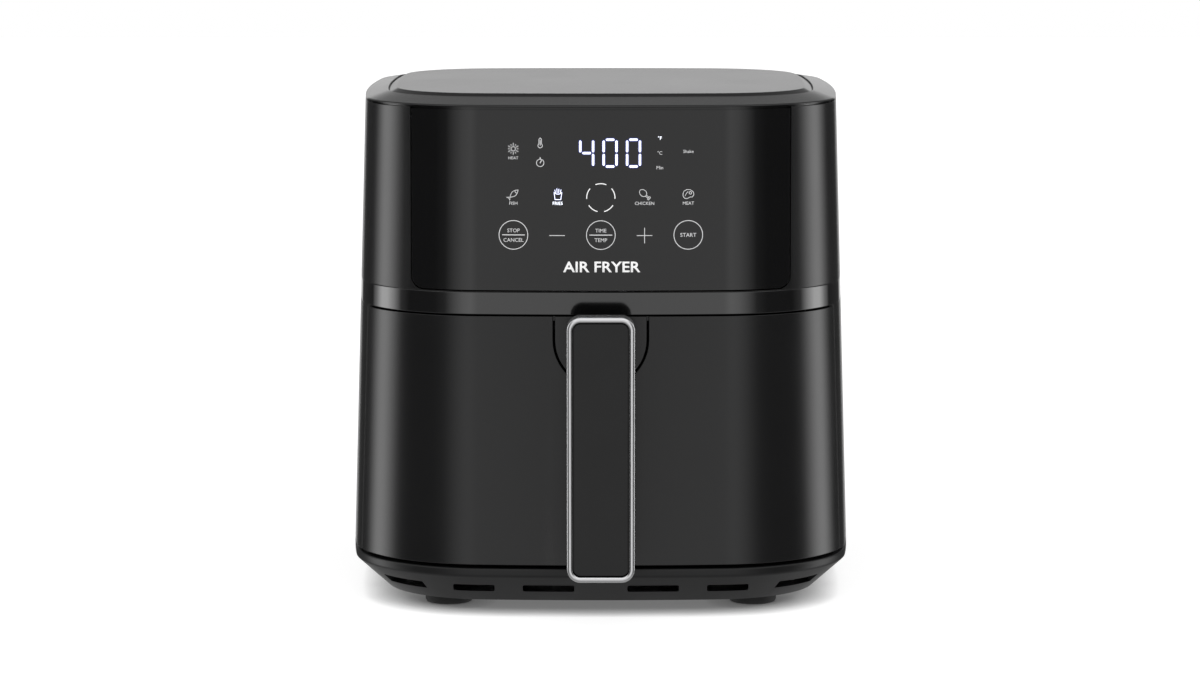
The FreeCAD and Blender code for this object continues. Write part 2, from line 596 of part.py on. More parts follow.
def make_grille():
    z1 = GRILLE_Z + GRILLE_H
    y1 = REAR_Y + REAR_REACH
    outer = face_prism(GRILLE_HALF_W, GRILLE_Z, z1, GRILLE_R, REAR_Y - 30, y1)
    inner = face_prism(GRILLE_HALF_W - WALL, GRILLE_Z + WALL, z1 - WALL, GRILLE_R - WALL, REAR_Y - 31,
                       y1 - WALL)
    grille = outer.cut(inner)
    count = int((GRILLE_H - 4 * WALL) / LOUVRE_PITCH)
    first = (GRILLE_Z + z1 - (count - 1) * LOUVRE_PITCH) / 2
    gaps = []
    for i in range(count):
        z = first + i * LOUVRE_PITCH
        for x0, x1 in ((-GRILLE_HALF_W + 8, -2.5), (2.5, GRILLE_HALF_W - 8)):
            gaps.append(box(x0, x1, y1 - 9, y1 + 1, z - LOUVRE_GAP / 2, z + LOUVRE_GAP / 2))
    grille = cut(grille, *gaps).cut(slab(SEAM_Z, LID_TOP + 20))
    corners = [rod(x, REAR_Y - 20, z, 5.0, y1 - REAR_Y + 18, BACK).cut(slab(SEAM_Z, LID_TOP + 20))
               for x, z in GRILLE_SCREWS]
    holes = [rod(x, REAR_Y - 20, z, SCREW_R, 60, BACK) for x, z in GRILLE_SCREWS]
    holes += [rod(x, y1 - SCREW_HEAD_H, z, SCREW_HEAD_R, 9, BACK) for x, z in GRILLE_SCREWS]
    save("exhaust_grille", cut(fuse(grille, *corners), *holes))
    shell_back = 2 * BODY_Y - front_y(GRILLE_HALF_W, z1, WALL)
    length = y1 - SCREW_HEAD_H - shell_back + 1
    add_screws("housing_screws", *[screw(x, y1, z, length, Vector(0, -1, 0)) for x, z in GRILLE_SCREWS])


# ================================================================ cavity, heater and board


def make_cavity():
    rear_r = BASKET_R
    near = INNER_PANEL_Y - 60
    outer = plan_prism(LINER_HALF_W + SHEET, near, LINER_REAR + SHEET, rear_r, LINER_Z, FRAME_Z)
    inner = plan_prism(LINER_HALF_W, near, LINER_REAR, rear_r - SHEET, LINER_Z + SHEET, FRAME_Z + 1)
    front = box(-200, 200, -400, SPLIT_Y + REVEAL / 2 + 1.5, 0, 400)
    save("cavity_liner", outer.cut(inner).cut(front))
    plate = slab(FRAME_Z, FRAME_TOP, BAND_WALL)
    holes = [rod(0, BASKET_Y, FRAME_Z - 1, CHAMBER_R - 3, FRAME_T + 2)]
    holes += [rod(x, y, FRAME_Z, SCREW_R, FRAME_T) for x, y in CHAMBER_SCREWS]
    save("mid_frame", cut(plate, *holes))
    rails = []
    rail_z = BASKET_TOP - CLEAR - 3.0
    for side in (-1, 1):
        near = side * (BASKET_HALF_W + 1.4)
        far = side * LINER_HALF_W
        left, right = sorted((near, far))
        rails.append(box(left, right, BASKET_FRONT_Y + 8, BASKET_Y + 70, rail_z, rail_z + 3))
    save("basket_rails", *rails)


def make_chamber():
    drum = rod(0, BASKET_Y, FRAME_TOP, CHAMBER_R, CHAMBER_H)
    drum = drum.cut(rod(0, BASKET_Y, FRAME_TOP - 1, CHAMBER_R - SHEET, CHAMBER_H - SHEET + 1))
    flange = tube(0, BASKET_Y, FRAME_TOP, CHAMBER_R + CHAMBER_FLANGE, CHAMBER_R - 0.5, SHEET)
    holes = [rod(0, BASKET_Y, FRAME_TOP, SHAFT_R + 4, CHAMBER_H + 5)]
    holes += [rod(x, y, FRAME_TOP - 1, SCREW_R, 5) for x, y in CHAMBER_SCREWS]
    holes += [rod(x, y, CHAMBER_TOP - 5, ELEMENT_R + 1.2, 10) for x, y in element_ends()]
    holes.append(rod(CHAMBER_R - 10, BASKET_Y, SENSOR_Z, 2.5, 20, Vector(1, 0, 0)))
    save("heater_chamber", cut(fuse(drum, flange), *holes))
    head_z = FRAME_TOP + SHEET + SCREW_HEAD_H
    add_screws("heater_screws", *[screw(x, y, head_z, SHEET + FRAME_T, Vector(0, 0, -1))
                                  for x, y in CHAMBER_SCREWS])
    insulators = []
    for x, y in element_ends():
        insulators.append(tube(x, y, CHAMBER_TOP - SHEET, ELEMENT_R + 1.2, ELEMENT_R, 5))
    save("element_insulators", *insulators)
    probe = rod(CHAMBER_R - 9, BASKET_Y, SENSOR_Z, 2.5, 9, Vector(1, 0, 0))
    save("temperature_sensor", fuse(probe, rod(CHAMBER_R, BASKET_Y, SENSOR_Z, 4.0, 3, Vector(1, 0, 0))))
    cutout = rod(78, BASKET_Y + 42, CHAMBER_TOP, 8, 2)
    save("thermal_cutout", fuse(cutout, rod(78, BASKET_Y + 42, CHAMBER_TOP + 2, 6.5, 6)))


def element_ends():
    """Where the heating element's two legs pass up through the chamber."""
    return [(ELEMENT_OUTER, BASKET_Y - BEND_R),
            (ELEMENT_OUTER - 2 * ELEMENT_PITCH, BASKET_Y + BEND_R)]


def make_element():
    edges = []
    (x0, y0), (x1, y1) = element_ends()
    k = BEND_R * (1 - math.sqrt(0.5))
    top = CHAMBER_TOP + 9
    edges.append(Part.LineSegment(Vector(x0, y0, top), Vector(x0, y0, ELEMENT_Z + BEND_R)).toShape())
    edges.append(Part.Arc(Vector(x0, y0, ELEMENT_Z + BEND_R), Vector(x0, y0 + k, ELEMENT_Z + k),
                          Vector(x0, BASKET_Y, ELEMENT_Z)).toShape())
    radius = ELEMENT_OUTER
    centre = 0.0
    sign = 1
    for _ in range(4):
        start = Vector(centre + sign * radius, BASKET_Y, ELEMENT_Z)
        middle = Vector(centre, BASKET_Y + sign * radius, ELEMENT_Z)
        end = Vector(centre - sign * radius, BASKET_Y, ELEMENT_Z)
        edges.append(Part.Arc(start, middle, end).toShape())
        centre = end.x + sign * (radius - ELEMENT_PITCH / 2)
        radius -= ELEMENT_PITCH / 2
        sign = -sign
    edges.append(Part.Arc(Vector(x1, BASKET_Y, ELEMENT_Z), Vector(x1, y1 - k, ELEMENT_Z + k),
                          Vector(x1, y1, ELEMENT_Z + BEND_R)).toShape())
    edges.append(Part.LineSegment(Vector(x1, y1, ELEMENT_Z + BEND_R), Vector(x1, y1, top)).toShape())
    section = Part.Wire([Part.makeCircle(ELEMENT_R, Vector(x0, y0, top), UP)])
    save("heating_element", Part.Wire(edges).makePipeShell([section], True, False))
    clips = []
    half = ELEMENT_PITCH / 2
    for x, y, turned in ((0, ELEMENT_OUTER - half, 1), (-ELEMENT_OUTER + half, 0, 0),
                         (-half, -ELEMENT_OUTER + 2 * half, 1)):
        reach = half + 3
        rx, ry = (1.5, reach) if turned else (reach, 1.5)
        low = ELEMENT_Z - ELEMENT_R - 1.7
        bar = box(x - rx, x + rx, BASKET_Y + y - ry, BASKET_Y + y + ry, low, low + 1.5)
        post = box(x - 1.2, x + 1.2, BASKET_Y + y - 1.2, BASKET_Y + y + 1.2, low, CHAMBER_TOP - SHEET)
        clips.append(fuse(bar, post))
    save("element_clips", *clips)
    guard_r = CHAMBER_R - SHEET
    guard = tube(0, BASKET_Y, FRAME_TOP, guard_r, guard_r - 6, GUARD_T)
    half_bar = GUARD_BAR / 2
    bars = [tube(0, BASKET_Y, FRAME_TOP, r + half_bar, r - half_bar, GUARD_T) for r in (20, 43, 66, 88)]
    for i in range(8):
        spoke = box(19, guard_r - 3, -GUARD_BAR / 2, GUARD_BAR / 2, FRAME_TOP, FRAME_TOP + GUARD_T)
        spoke.rotate(Vector(0, 0, 0), UP, 45 * i + 22.5)
        spoke.translate(Vector(0, BASKET_Y, 0))
        bars.append(spoke)
    save("heater_guard", fuse(guard, *bars))


def make_power_board():
    holes = [rod(x, y, POWER_Z - 8, SCREW_R, 12) for x, y in POWER_POSTS]
    board = box(-BOARD_HALF, BOARD_HALF, BOARD_Y0, BOARD_Y1, POWER_Z, POWER_Z + BOARD_T)
    save("power_board", cut(board, *holes))
    posts = [rod(x, y, CHAMBER_TOP, 3.5, POWER_Z - CHAMBER_TOP) for x, y in POWER_POSTS]
    save("board_standoffs", *[cut(post, *holes) for post in posts])
    top = POWER_Z + BOARD_T
    add_screws("board_screws", *[screw(x, y, top + SCREW_HEAD_H, BOARD_T + 6, Vector(0, 0, -1))
                                 for x, y in POWER_POSTS])
    relay = box(-40, -21, BOARD_Y0 + 8, BOARD_Y1 - 8, top, top + 16)
    transformer = box(-12, 12, BOARD_Y0 + 6, BOARD_Y1 - 6, top, top + 18)
    capacitors = [rod(24, BOARD_Y0 + 16, top, 6, 14), rod(38, BOARD_Y0 + 20, top, 4.5, 12)]
    save("board_parts", relay, transformer, *capacitors)


# ================================================================ motor, fans and duct
def make_motor():
    y0 = BASKET_Y - BRACKET_HALF_D
    y1 = BASKET_Y + BRACKET_HALF_D
    bracket = box(-BRACKET_LEG_X, BRACKET_LEG_X, y0, y1, BRACKET_Z, BRACKET_Z + 2)
    legs = []
    for side in (-1, 1):
        x0 = side * BRACKET_LEG_X
        x1 = side * (BRACKET_LEG_X - 2)
        legs.append(box(min(x0, x1), max(x0, x1), y0, y1, CHAMBER_TOP, BRACKET_Z))
        foot_x0 = side * (BRACKET_LEG_X - 2)
        foot_x1 = side * (BRACKET_LEG_X + 10)
        legs.append(box(min(foot_x0, foot_x1), max(foot_x0, foot_x1), y0, y1,
                        CHAMBER_TOP, CHAMBER_TOP + 2))
    bearing_r = SHAFT_R + 3
    holes = [rod(0, BASKET_Y, BRACKET_Z - 1, bearing_r, 9)]
    pillars = [(sx * PILLAR_X, BASKET_Y + sy * PILLAR_Y) for sx in (-1, 1) for sy in (-1, 1)]
    holes += [rod(x, y, BRACKET_Z - 1, SCREW_R, 9) for x, y in pillars]
    spacers = [rod(x, y, BRACKET_Z + 2, SPACER_R, STATOR_Z - BRACKET_Z - 2) for x, y in pillars]
    save("motor_bracket", cut(fuse(bracket, *legs, *spacers), *holes))
    stack = box(-STACK_HALF_W, STACK_HALF_W, BASKET_Y - STACK_HALF_D, BASKET_Y + STACK_HALF_D,
                STATOR_Z, STATOR_Z + STATOR_H)
    bore = rod(0, BASKET_Y, STATOR_Z - 1, ROTOR_R + AIR_GAP, STATOR_H + 2)
    edge = BASKET_Y - STACK_HALF_D
    window = box(8 - STACK_HALF_W, STACK_HALF_W - 8, edge - 1, edge + 4,
                 STATOR_Z - 1, STATOR_Z + STATOR_H + 1)
    screw_holes = [rod(x, y, STATOR_Z - 20, SCREW_R, 60) for x, y in pillars]
    save("motor_stator", cut(stack, bore, window, *screw_holes))
    save("motor_coil", box(-17, 17, BASKET_Y - 36, BASKET_Y - 20, STATOR_Z + 1, STATOR_Z + STATOR_H - 1))
    plate = box(-30, 30, y0, y1, END_PLATE_Z, END_PLATE_Z + 2)
    stator_top = STATOR_Z + STATOR_H
    rims = [tube(x, y, stator_top, SPACER_R, SCREW_R, END_PLATE_Z - stator_top) for x, y in pillars]
    plate = cut(plate, rod(0, BASKET_Y, END_PLATE_Z - 1, bearing_r, 9), *screw_holes)
    save("motor_end_plate", fuse(plate, *rims))
    length = END_PLATE_Z + 2 - BRACKET_Z
    add_screws("heater_screws", *[screw(x, y, END_PLATE_Z + 2 + SCREW_HEAD_H, length, Vector(0, 0, -1))
                                  for x, y in pillars])
    bearings = []
    for z, height in ((BRACKET_Z - 1, 4.5), (END_PLATE_Z - 1, 4.5)):
        sleeve = fuse(rod(0, BASKET_Y, z, bearing_r, height), rod(0, BASKET_Y, z, bearing_r + 2, 1))
        bearings.append(sleeve.cut(rod(0, BASKET_Y, z - 1, SHAFT_R + BEARING_FIT, height + 2)))
    save("motor_bearings", *bearings)


def fan_blades(count, r0, r1, z, height, sweep):
    blades = []
    for i in range(count):
        blade = box(r0, r1, -0.6, 0.6, z, z + height)
        blade.rotate(Vector(r0, 0, 0), UP, sweep)
        blade.rotate(Vector(0, 0, 0), UP, 360 * i / count)
        blade.translate(Vector(0, BASKET_Y, 0))
        blades.append(blade)
    return blades


def make_rotor():
    low = AIR_FAN_Z - AIR_FAN_H - 6
    high = COOL_FAN_Z + COOL_FAN_H + 3
    save("fan_shaft", rod(0, BASKET_Y, low, SHAFT_R, high - low))
    save("motor_rotor", tube(0, BASKET_Y, STATOR_Z - 0.5, ROTOR_R, SHAFT_R, STATOR_H + 1))
    disc = tube(0, BASKET_Y, AIR_FAN_Z - 1.2, AIR_FAN_R, SHAFT_R, 1.2)
    hub = tube(0, BASKET_Y, AIR_FAN_Z - AIR_FAN_H, 8, SHAFT_R, AIR_FAN_H)
    blades = fan_blades(12, 22, AIR_FAN_R - 3, AIR_FAN_Z - AIR_FAN_H, AIR_FAN_H - 0.6, 14)
    save("air_fan", fuse(disc, hub, *blades))
    disc = tube(0, BASKET_Y, COOL_FAN_Z, COOL_FAN_R, SHAFT_R, 1.5)
    hub = tube(0, BASKET_Y, COOL_FAN_Z, 8, SHAFT_R, COOL_FAN_H)
    blades = fan_blades(10, 16, COOL_FAN_R - 3, COOL_FAN_Z + 0.8, COOL_FAN_H - 0.8, 18)
    save("cooling_fan", fuse(disc, hub, *blades))
    nut_z = AIR_FAN_Z - AIR_FAN_H - 3
    turns = [math.radians(60 * i) for i in range(6)]
    points = [Vector(5.5 * math.cos(a), BASKET_Y + 5.5 * math.sin(a), nut_z) for a in turns]
    nut = Part.Face(Part.makePolygon(points + points[:1])).extrude(Vector(0, 0, 3))
    save("fan_nut", nut.cut(rod(0, BASKET_Y, nut_z - 1, SHAFT_R, 9)))


def make_shroud():
    z1 = SHROUD_Z + SHROUD_H
    rear = 2 * BODY_Y - front_y(DUCT_HALF_W, SHROUD_Z, WALL) - 1.5
    drum = rod(0, BASKET_Y, SHROUD_Z, SHROUD_R, SHROUD_H)
    duct = box(-DUCT_HALF_W, DUCT_HALF_W, BASKET_Y, rear, SHROUD_Z, z1)
    drum_in = rod(0, BASKET_Y, SHROUD_Z - 1, SHROUD_R - SHROUD_T, SHROUD_H - SHROUD_T + 1)
    duct_in = box(-DUCT_HALF_W + SHROUD_T, DUCT_HALF_W - SHROUD_T, BASKET_Y, rear + 1,
                  SHROUD_Z + SHROUD_T, z1 - SHROUD_T)
    posts = [rod(x, y, CHAMBER_TOP, 3.0, SHROUD_Z - CHAMBER_TOP + 3) for x, y in SHROUD_POSTS]
    save("cooling_duct", cut(fuse(cut(fuse(drum, duct), drum_in, duct_in), *posts)))


def make_switch():
    z = SWITCH_Z
    body = box(SWITCH_X - 3.2, SWITCH_X + 3.2, SWITCH_FRONT, SWITCH_FRONT + 20, z - 6, z + 6)
    cavity = box(SWITCH_X - 1.7, SWITCH_X + 1.7, SWITCH_FRONT - 1, SWITCH_FRONT + 12, z - 1.7, z + 1.7)
    save("door_switch", body.cut(cavity))
    bracket = box(LINER_HALF_W + SHEET, SWITCH_X - 3.2, SWITCH_FRONT + 2, SWITCH_FRONT + 18, z - 5, z + 5)
    save("switch_bracket", bracket)
    half = 1.7 - SLOT_CLEAR
    save("switch_plunger", box(SWITCH_X - half, SWITCH_X + half, SWITCH_FRONT - 2, SWITCH_FRONT + 9,
                               z - half, z + half))


# ================================================================ drawer and handle


def make_drawer_front():
    back = SPLIT_Y - REVEAL / 2
    cap = slab(SHELL_Z, DRAWER_Z1, 0).common(box(-200, 200, -300, back, 0, 400))
    inside = slab(SHELL_Z + DRAWER_WALL, DRAWER_Z1 - DRAWER_WALL, DRAWER_WALL)
    cap = cap.cut(inside)
    bosses = []
    holes = []
    for x, z in DRAWER_SCREWS:
        start = front_y(x, z, DRAWER_WALL / 2)
        bosses.append(rod(x, start, z, 4.5, INNER_PANEL_Y - start, BACK))
        holes.append(rod(x, INNER_PANEL_Y - 12, z, SCREW_R, 30, BACK))
    cap = fuse(cap, *bosses)
    socket = u_prism(BOSS_HALF_W + BOSS_GROOVE / 2, BOSS_ARC_Z, DRAWER_Z1 + 9, FRONT_Y - 20,
                     FRONT_Y + inset_at(DRAWER_Z1, PLUG_WALL) + 0.6)
    save("drawer_front", cut(cap, socket, *holes))
    plate = slab(SHELL_Z + DRAWER_WALL, DRAWER_Z1 - DRAWER_WALL, DRAWER_WALL)
    plate = plate.common(box(-200, 200, INNER_PANEL_Y, INNER_PANEL_Y + PANEL_T, 0, 400))
    save("drawer_inner_panel", cut(plate, *holes))
    back_y = INNER_PANEL_Y + PANEL_T + SCREW_HEAD_H
    front = Vector(0, -1, 0)
    add_screws("drawer_screws", *[screw(x, back_y, z, PANEL_T + 10, front) for x, z in DRAWER_SCREWS])


def make_handle():
    top = DRAWER_Z1
    holes = [rod(0, GRIP_BACK - 4, z, SCREW_R + 0.5, 90, BACK) for z in HANDLE_SCREWS_Z]
    plug = u_prism(BOSS_HALF_W - BOSS_GROOVE / 2, BOSS_ARC_Z, top, FRONT_Y - 20, FRONT_Y + 30)
    plug = plug.common(wall_ring(SHELL_Z, top, 0, PLUG_WALL))
    flange = u_prism(BOSS_HALF_W + 4, BOSS_ARC_Z, top - DRAWER_WALL, FRONT_Y - 20, FRONT_Y + 30)
    flange = flange.common(wall_ring(SHELL_Z, top - DRAWER_WALL, DRAWER_WALL, PLUG_T))
    arm_end = front_y(0, BOSS_ARC_Z, 2.0)
    arm = face_prism(ARM_HALF_W, BOSS_ARC_Z - 20, top - 4, 7, GRIP_BACK, arm_end)
    save("handle_arm", cut(fuse(plug, flange, arm), *holes))
    width = HANDLE_HALF_W
    base_y = HANDLE_FRONT + TRIM_DEPTH
    back = face_prism(width, HANDLE_Z0, HANDLE_Z1, HANDLE_R, base_y, GRIP_BACK)
    rear_edges = [edge for edge in back.Edges if abs(edge.BoundBox.YMin - GRIP_BACK) < 0.01
                  and abs(edge.BoundBox.YMax - GRIP_BACK) < 0.01]
    back = back.makeFillet(3.5, rear_edges)
    inner = width - TRIM_W - SLOT_CLEAR
    core = face_prism(inner, HANDLE_Z0 + TRIM_W + SLOT_CLEAR, HANDLE_Z1 - TRIM_W - SLOT_CLEAR,
                      HANDLE_R - TRIM_W, HANDLE_FRONT + 4.0, base_y)
    pilot = [rod(0, HANDLE_FRONT + 6, z, SCREW_R + 0.5, 30, BACK) for z in HANDLE_SCREWS_Z]
    save("handle_grip", cut(fuse(back, core), *pilot))
    bevel_y = HANDLE_FRONT + TRIM_BEVEL
    outer = face_prism(width, HANDLE_Z0, HANDLE_Z1, HANDLE_R, bevel_y, base_y)
    wires = []
    for grow, y in ((0.0, bevel_y), (-TRIM_BEVEL, HANDLE_FRONT)):
        wires.append(rounded_wire(width + grow, HANDLE_Z0 - grow, HANDLE_Z1 + grow, HANDLE_R + grow,
                                  lambda u, v, y=y: Vector(u, y, v)))
    nose = Part.makeLoft(wires, True, True)
    opening = face_prism(width - TRIM_W, HANDLE_Z0 + TRIM_W, HANDLE_Z1 - TRIM_W, HANDLE_R - TRIM_W,
                         HANDLE_FRONT - 1, base_y + 1)
    save("handle_trim", fuse(outer, nose).cut(opening))
    save("handle_insert", face_prism(inner - 0.5, HANDLE_Z0 + TRIM_W + 0.7, HANDLE_Z1 - TRIM_W - 0.7,
                                     HANDLE_R - TRIM_W - 0.5, HANDLE_FRONT + 1.0, HANDLE_FRONT + 4.0))
    screws = []
    for z in HANDLE_SCREWS_Z:
        head_y = front_y(0, z, PLUG_T) + SCREW_HEAD_H + 0.1
        shank = rod(0, HANDLE_FRONT + 7, z, SCREW_R + 0.5, head_y - HANDLE_FRONT - 7, BACK)
        screws.append(fuse(shank, rod(0, head_y - SCREW_HEAD_H, z, SCREW_HEAD_R + 1, SCREW_HEAD_H, BACK)))
    add_screws("drawer_screws", *screws)


def basket_inner_half(z):
    """Half width inside the basket at height z."""
    share = (z - BASKET_Z) / BASKET_H
    return BASKET_HALF_W - BASKET_DRAFT * (1 - share) - BASKET_T


def make_basket():
    d = BASKET_DRAFT
    y0 = BASKET_FRONT_Y
    y1 = BASKET_Y + BASKET_HALF_D
    t = BASKET_T
    outer = plan_prism(BASKET_HALF_W - d, y0 + d, y1 - d, BASKET_R - d, BASKET_Z, BASKET_TOP,
                       BASKET_HALF_W, y0, y1)
    inner = plan_prism(BASKET_HALF_W - d - t, y0 + d + t, y1 - d - t, BASKET_R - d - t, BASKET_Z, BASKET_TOP,
                       BASKET_HALF_W - t, y0 + t, y1 - t)
    floor = box(-200, 200, -300, 300, BASKET_Z, BASKET_Z + t)
    bowl = outer.cut(inner.cut(floor))
    rim = plan_prism(BASKET_HALF_W + RIM_W, y0 - 1.8, y1 + RIM_W, BASKET_R + 2, BASKET_TOP,
                     BASKET_TOP + RIM_T)
    hole = plan_prism(BASKET_HALF_W - t, y0 + t, y1 - t, BASKET_R - t, BASKET_TOP - 1, BASKET_TOP + 9)
    save("basket", fuse(bowl, rim.cut(hole)))
    bracket = box(-60, 60, INNER_PANEL_Y + PANEL_T, y0 + 8, BASKET_Z + 40, BASKET_TOP - 12)
    bracket = bracket.cut(box(-48, 48, -300, 300, BASKET_Z + 52, BASKET_TOP - 24))
    save("basket_bracket", bracket.cut(outer))
    tab_end = SWITCH_FRONT - 2 - SLOT_CLEAR
    tab_y = INNER_PANEL_Y + PANEL_T
    save("switch_tab", box(SWITCH_X - 2, SWITCH_X + 2, tab_y, tab_end, SWITCH_Z - 3, SWITCH_Z + 3))


def make_tray():
    z0 = BASKET_Z + TRAY_UP
    edge = TRAY_EDGE_GAP
    half = basket_inner_half(z0) - edge
    depth = half + BASKET_HALF_D - BASKET_HALF_W
    plate = plan_prism(half, BASKET_Y - depth, BASKET_Y + depth, BASKET_R - 12, z0, z0 + TRAY_T)
    holes = []
    reach = int((half - 14) / TRAY_PITCH)
    for i in range(-reach, reach + 1):
        for j in range(-reach, reach + 1):
            x = i * TRAY_PITCH
            y = j * TRAY_PITCH
            if abs(x) < FINGER_HALF_W + 6 and abs(y) < FINGER_HALF_D + 6:
                continue
            if math.hypot(max(abs(x) - half + 40, 0), max(abs(y) - half + 40, 0)) > 30:
                continue
            holes.append(rod(x, BASKET_Y + y, z0 - 1, TRAY_HOLE_R, TRAY_T + 2))
    finger_y = (BASKET_Y - FINGER_HALF_D, BASKET_Y + FINGER_HALF_D)
    holes.append(plan_prism(FINGER_HALF_W, *finger_y, 8.5, z0 - 1, z0 + 9))
    plate = cut(plate, *holes)
    save("crisper_tray", plate)
    foot = BASKET_Z + BASKET_T + CLEAR
    out = basket_inner_half(foot) - 0.6
    bumpers = []
    for turn in range(4):
        limit = out if turn % 2 == 0 else out + BASKET_HALF_D - BASKET_HALF_W
        bumper = box(limit - 6, limit, -9, 9, foot, z0 + TRAY_T + 3)
        bumper.rotate(Vector(0, 0, 0), UP, 90 * turn)
        bumper.translate(Vector(0, BASKET_Y, 0))
        bumpers.append(bumper.cut(plate))
    save("tray_bumpers", *bumpers)


def main():
    os.makedirs("parts", exist_ok=True)
    for step in (make_base_pan, make_base_deck, make_lower_shell, make_front_frame, make_band,
                 make_upper_shell, make_control_panel, make_top, make_grille, make_cavity, make_chamber,
                 make_element, make_power_board, make_motor, make_rotor, make_shroud, make_switch,
                 make_drawer_front, make_handle, make_basket, make_tray):
        step()
    for group, screws in screw_groups.items():
        save(group, *screws)


if __name__ == "__main__":
    main()
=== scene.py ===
"""The looks of a basket air fryer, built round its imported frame, in metres."""

import json
import logging
import math
from collections.abc import Callable, Sequence
from dataclasses import dataclass
from enum import Enum

import bmesh
import bpy
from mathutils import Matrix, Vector


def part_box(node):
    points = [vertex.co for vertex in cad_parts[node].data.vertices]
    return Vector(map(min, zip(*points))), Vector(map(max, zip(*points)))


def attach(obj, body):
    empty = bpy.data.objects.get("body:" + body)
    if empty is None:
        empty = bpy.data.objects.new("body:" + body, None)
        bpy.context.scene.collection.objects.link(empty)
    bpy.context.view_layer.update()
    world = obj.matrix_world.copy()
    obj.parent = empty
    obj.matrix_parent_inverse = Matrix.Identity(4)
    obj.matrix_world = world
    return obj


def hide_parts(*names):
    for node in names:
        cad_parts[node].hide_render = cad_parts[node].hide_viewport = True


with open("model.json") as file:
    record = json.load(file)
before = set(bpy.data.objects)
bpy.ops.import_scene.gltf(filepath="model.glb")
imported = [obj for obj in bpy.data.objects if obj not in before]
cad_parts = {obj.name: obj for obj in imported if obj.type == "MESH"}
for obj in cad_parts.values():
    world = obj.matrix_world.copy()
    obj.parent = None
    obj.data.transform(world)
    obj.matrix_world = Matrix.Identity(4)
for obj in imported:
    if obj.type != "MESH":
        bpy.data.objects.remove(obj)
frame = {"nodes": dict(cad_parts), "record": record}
log = logging.getLogger("air_fryer")
MM = 0.001
Point2 = tuple[float, float]
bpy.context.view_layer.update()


# ---------------------------------------------------------------- finishes
class Slot(Enum):
    """Material slots of the record that the shown pieces take their finish from."""

    SATIN = "satin_black_plastic"
    GLOSS = "gloss_black_plastic"
    PLINTH = "dark_plinth_plastic"
    LID = "lid_plastic"
    INNER = "inner_plastic"
    RUBBER = "black_rubber"
    SILICONE = "silicone"
    ZINC = "zinc_steel"
    TRIM = "bright_trim"
    GALVANISED = "galvanised_sheet"
    ALUMINISED = "aluminised_steel"
    NONSTICK = "nonstick_coating"
    ELEMENT = "element_steel"
    BOARD = "circuit_board"
    COMPONENTS = "dark_components"
    WHITE = "white_plastic"
    COPPER = "copper_coil"
    MOTOR = "motor_steel"
    BRONZE = "bronze"
    SHAFT = "polished_steel"
    CERAMIC = "ceramic"
    FAN = "aluminium_fan"


class Grain(Enum):
    """How a finish's surface is textured."""

    MOULDED = (1.0, 1.0, 1.0)
    BRUSHED_UP = (1.0, 1.0, 0.02)
    BRUSHED_ACROSS = (0.02, 1.0, 1.0)


def link_group(name: str, inputs: Sequence[tuple[str, str, float]],
               outputs: Sequence[tuple[str, str]]) -> bpy.types.NodeTree:
    """Make an empty shader node group with named sockets.

    Args:
        name: the group's name.
        inputs: name, socket type and default of each input.
        outputs: name and socket type of each output.

    Returns:
        The new node tree, holding its group input and output nodes.
    """
    tree = bpy.data.node_groups.new(name, "ShaderNodeTree")
    for label, kind, default in inputs:
        socket = tree.interface.new_socket(label, in_out="INPUT", socket_type=kind)
        if kind == "NodeSocketFloat":
            socket.default_value = default
    for label, kind in outputs:
        tree.interface.new_socket(label, in_out="OUTPUT", socket_type=kind)
    tree.nodes.new("NodeGroupInput")
    tree.nodes.new("NodeGroupOutput")
    return tree


def add_node(tree: bpy.types.NodeTree, kind: str, links: dict[str, object] | None = None,
             **settings: object) -> bpy.types.Node:
    """Add a node, set its properties and join or set its inputs.

    Args:
        tree: the tree that gets the node.
        kind: the node's class name.
        links: input name to a socket to join or a value to set.
        **settings: properties of the node.

    Returns:
        The new node.
    """
    node = tree.nodes.new(kind)
    for key, value in settings.items():
        setattr(node, key, value)
    for key, value in (links or {}).items():
        socket = node.inputs[int(key)] if key.isdigit() else node.inputs[key]
        if isinstance(value, bpy.types.NodeSocket):
            tree.links.new(value, socket)
        else:
            socket.default_value = value
    return node


@dataclass(frozen=True)
class GrainGroup:
    """Shader group for a fine moulded or brushed relief."""

    name: str = "surface_grain"

    def build(self) -> bpy.types.NodeTree:
        """Build the group once: Vector, Scale and Patch in, Height and Cloud out.

        Returns:
            The node group, made once and reused.
        """
        known = bpy.data.node_groups.get(self.name)
        if known:
            return known
        tree = link_group(self.name, [("Vector", "NodeSocketVector", 0), ("Scale", "NodeSocketFloat", 900),
                                      ("Patch", "NodeSocketFloat", 14)],
                          [("Height", "NodeSocketFloat"), ("Cloud", "NodeSocketFloat")])
        source = tree.nodes["Group Input"].outputs
        target = tree.nodes["Group Output"].inputs
        fine = add_node(tree, "ShaderNodeTexNoise",
                        {"Vector": source["Vector"], "Scale": source["Scale"], "Detail": 4.0,
                         "Roughness": 0.6})
        pits = add_node(tree, "ShaderNodeTexVoronoi", {"Vector": source["Vector"], "Scale": source["Scale"]})
        both = add_node(tree, "ShaderNodeMath", {"0": fine.outputs[0], "1": pits.outputs["Distance"]},
                        operation="ADD")
        cloud = add_node(tree, "ShaderNodeTexNoise",
                         {"Vector": source["Vector"], "Scale": source["Patch"], "Detail": 5.0,
                          "Roughness": 0.55})
        tree.links.new(both.outputs[0], target["Height"])
        tree.links.new(cloud.outputs[0], target["Cloud"])
        return tree


